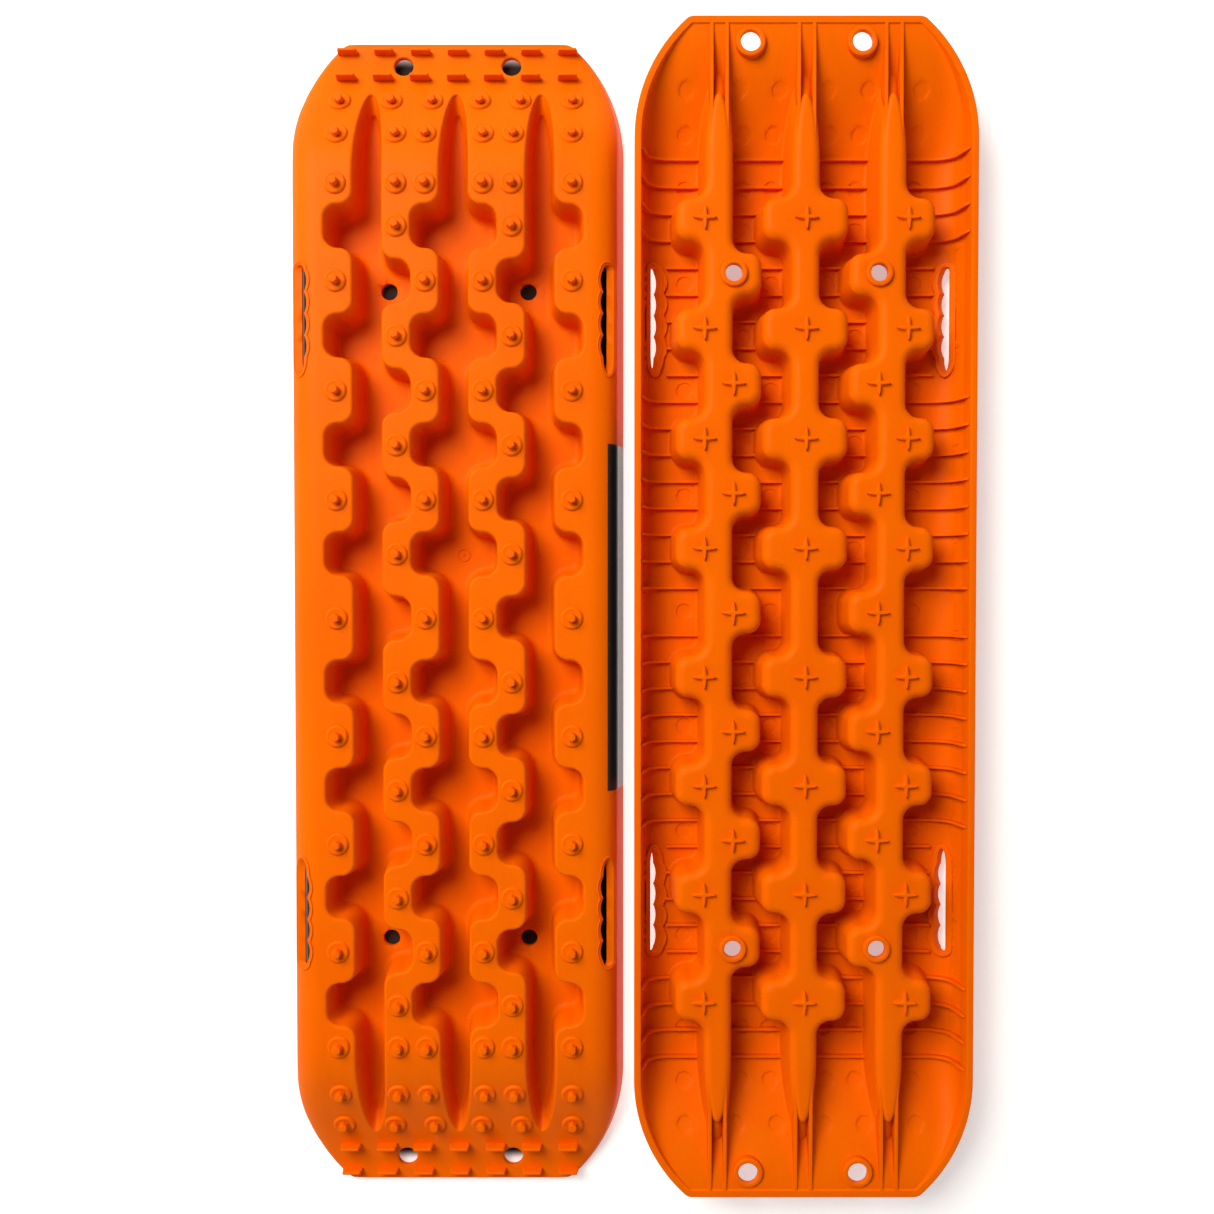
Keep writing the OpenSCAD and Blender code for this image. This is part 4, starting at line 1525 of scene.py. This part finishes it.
@dataclass
class Mat:
    """One mat: builds its pieces, dresses them, and puts them on its body."""

    lies: Lies
    sizes: TraySizes = field(default_factory=TraySizes)
    shell_nodes: tuple[str, ...] = (
        "left_outer_land", "left_inner_land", "right_inner_land", "right_outer_land",
        "head_ramp", "tail_ramp", "left_flank", "right_flank",
        "left_channel", "centre_channel", "right_channel",
    )

    def channels(self) -> list[Channel]:
        """The three channels, from left to right. A side channel steps inwards on even rows."""
        s = self.sizes
        even, odd = s.rows_at(0), s.rows_at(1)
        side = 3 * s.column
        return [Channel(s, -side, odd, even), Channel(s, 0.0, odd, odd), Channel(s, side, even, odd)]

    def builds(self) -> Iterable[tuple[str, Build, tuple[str, ...], str]]:
        """Builds every piece.

        Returns:
            For each piece its name, its build, the nodes that it stands for and its material slot.
        """
        s = self.sizes
        deck = DeckFeatures(s, TraySurface(s, np.zeros((1, 2))))
        surface = TraySurface(s, deck.stud_places())
        deck.surface = surface
        channels, hole = self.channels(), FingerHole()
        moulding = Moulding(s, surface, channels, hole)
        under = UnderFeatures(s, surface, channels, moulding, hole)
        nylon, film = "orange_nylon", "label_film"
        both = ("head", "tail")
        sides = ("left", "right")
        yield "moulding", moulding.build(), self.shell_nodes, nylon
        stud_nodes = tuple(f"{side}_{row}_studs" for side in sides for row in ("outer", "inner"))
        yield "stud_field", deck.studs(), stud_nodes, nylon
        yield "end_teeth", deck.teeth(), tuple(f"{end}_teeth" for end in both), nylon
        yield "rib_set", under.cross_ribs(), ("cross_ribs",), nylon
        yield "nose_rib_pairs", under.nose_ribs(), tuple(f"{end}_nose_ribs" for end in both), nylon
        yield "grip_cross_set", under.crosses(), ("left_crosses", "centre_crosses", "right_crosses"), nylon
        yield "boss_rings", under.bosses(), ("pin_bosses",), nylon
        yield "eyelet_collars", under.eyelet_collars(), tuple(f"{end}_eyelets" for end in both), nylon
        yield "finger_hole_pads", under.grip_pads(), tuple(f"{side}_grip_beads" for side in sides), nylon
        yield "finger_hole_beads", under.grip_beads(), (), nylon
        yield "gate_mark", GateMark(s).build(), (), nylon
        yield "label_strip", Label(s, surface).build(), ("label",), film

    def make(self, finishes: dict[str, bpy.types.Material]) -> None:
        """Makes every piece, with its finish in its material slot and its body, and hides the CAD parts of
        the nodes that it stands for.

        Args:
            finishes: Material for each slot.
        """
        placement = Placement.of(self.lies, self.sizes, CAD_BOUNDS)
        mat = f"mat_{self.lies.value}"
        for name, build, nodes, slot in self.builds():
            piece = make_piece(f"{mat}_{name}", build, placement)
            piece.data.materials.append(finishes[slot])
            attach(piece, mat)
            if nodes:
                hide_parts(*(f"{self.lies.value}_{node}" for node in nodes))


@dataclass(frozen=True)
class Studio:
    """Pale floor, soft light from the upper left, and a camera that looks nearly straight down.

    Each lamp is its name, its place and its edge in metres, and its power in watts.
    """

    lens: float = 34.458
    sensor: float = 36.0
    height: float = 1.1
    offset: float = -0.02
    ahead: float = 0.0065
    pitch: float = 1.2
    floor_r: float = 5.0
    cove_r: float = 2.0
    wall_height: float = 4.5
    ambient: float = 0.02
    light_colour: tuple[float, float, float] = (1.0, 0.97, 0.9)
    lamps: tuple[tuple[str, tuple[float, float, float], float, float], ...] = (
        ("key", (-1.35, 1.35, 2.2), 1.7, 115.0),
        ("fill", (0.6, -1.6, 2.4), 2.5, 3.0),
    )

    def floor(self) -> None:
        """Makes the floor at the object's lowest point, swept up all round into a backdrop."""
        bend = np.radians(np.linspace(0.0, 90.0, 13))
        curve = np.column_stack((np.sin(bend), 1.0 - np.cos(bend))) * self.cove_r + (self.floor_r, 0.0)
        profile = np.vstack(([[0.5, 0.0]], curve, [[self.floor_r + self.cove_r, self.wall_height]]))
        sweep = Build()
        sweep.loft(turned(profile, 96), cap_first=True)
        mesh = bpy.data.meshes.new("floor")
        points = np.vstack(sweep.points) + (0.0, 0.0, CAD_BOUNDS[0][2])
        mesh.from_pydata(points, [], [face for part in sweep.faces for face in part.tolist()])
        floor = bpy.data.objects.new("floor", mesh)
        bpy.context.scene.collection.objects.link(floor)
        mesh.materials.append(StudioPaper().material())
        floor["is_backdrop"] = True

    def lamp(self, name: str, place: Sequence[float], size: float, power: float) -> None:
        """Adds a square soft light that faces the mats.

        Args:
            name: Its name.
            place: Where it hangs, in metres.
            size: Its edge in metres.
            power: Its power in watts.
        """
        light = bpy.data.lights.new(name, "AREA")
        light.size = size
        light.energy = power
        light.color = self.light_colour
        lamp = bpy.data.objects.new(name, light)
        lamp.location = place
        lamp.rotation_euler = (-Vector(place)).to_track_quat("-Z", "Y").to_euler()
        bpy.context.scene.collection.objects.link(lamp)

    def camera(self) -> None:
        """Makes the camera and the scene's plain tone curve."""
        camera = bpy.data.cameras.new("camera")
        camera.sensor_width = self.sensor
        camera.lens = self.lens
        camera.clip_end = 50.0
        view = bpy.data.objects.new("camera", camera)
        tilt = math.radians(self.pitch)
        view.location = (self.offset, self.ahead + self.height * math.tan(tilt), self.height)
        view.rotation_euler = (-tilt, 0.0, 0.0)
        bpy.context.scene.collection.objects.link(view)
        scene = bpy.context.scene
        scene.camera = view
        scene.view_settings.view_transform = "Standard"

    def world(self) -> None:
        """Sets the even light all round."""
        world = bpy.data.worlds.new("studio")
        world.use_nodes = True
        background = world.node_tree.nodes["Background"]
        background.inputs["Color"].default_value = (1.0, 1.0, 1.0, 1.0)
        background.inputs["Strength"].default_value = self.ambient
        bpy.context.scene.world = world

    def make(self) -> None:
        """Makes the whole set."""
        self.floor()
        for lamp in self.lamps:
            self.lamp(*lamp)
        self.world()
        self.camera()


def write_sizes() -> None:
    boxes = {"cad": CAD_BOUNDS, "visual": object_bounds()}
    plain = {name: [[float(v) for v in corner] for corner in box] for name, box in boxes.items()}


def main() -> None:
    """Builds the pair of mats and the studio round them."""
    logging.basicConfig(level=logging.INFO, format="%(name)s: %(message)s")
    Studio().make()
    finishes = {"orange_nylon": MouldedNylon().material(), "label_film": BlackFilm().material()}
    for lies in Lies:
        Mat(lies).make(finishes)
    write_sizes()


if __name__ == "__main__":
    main()
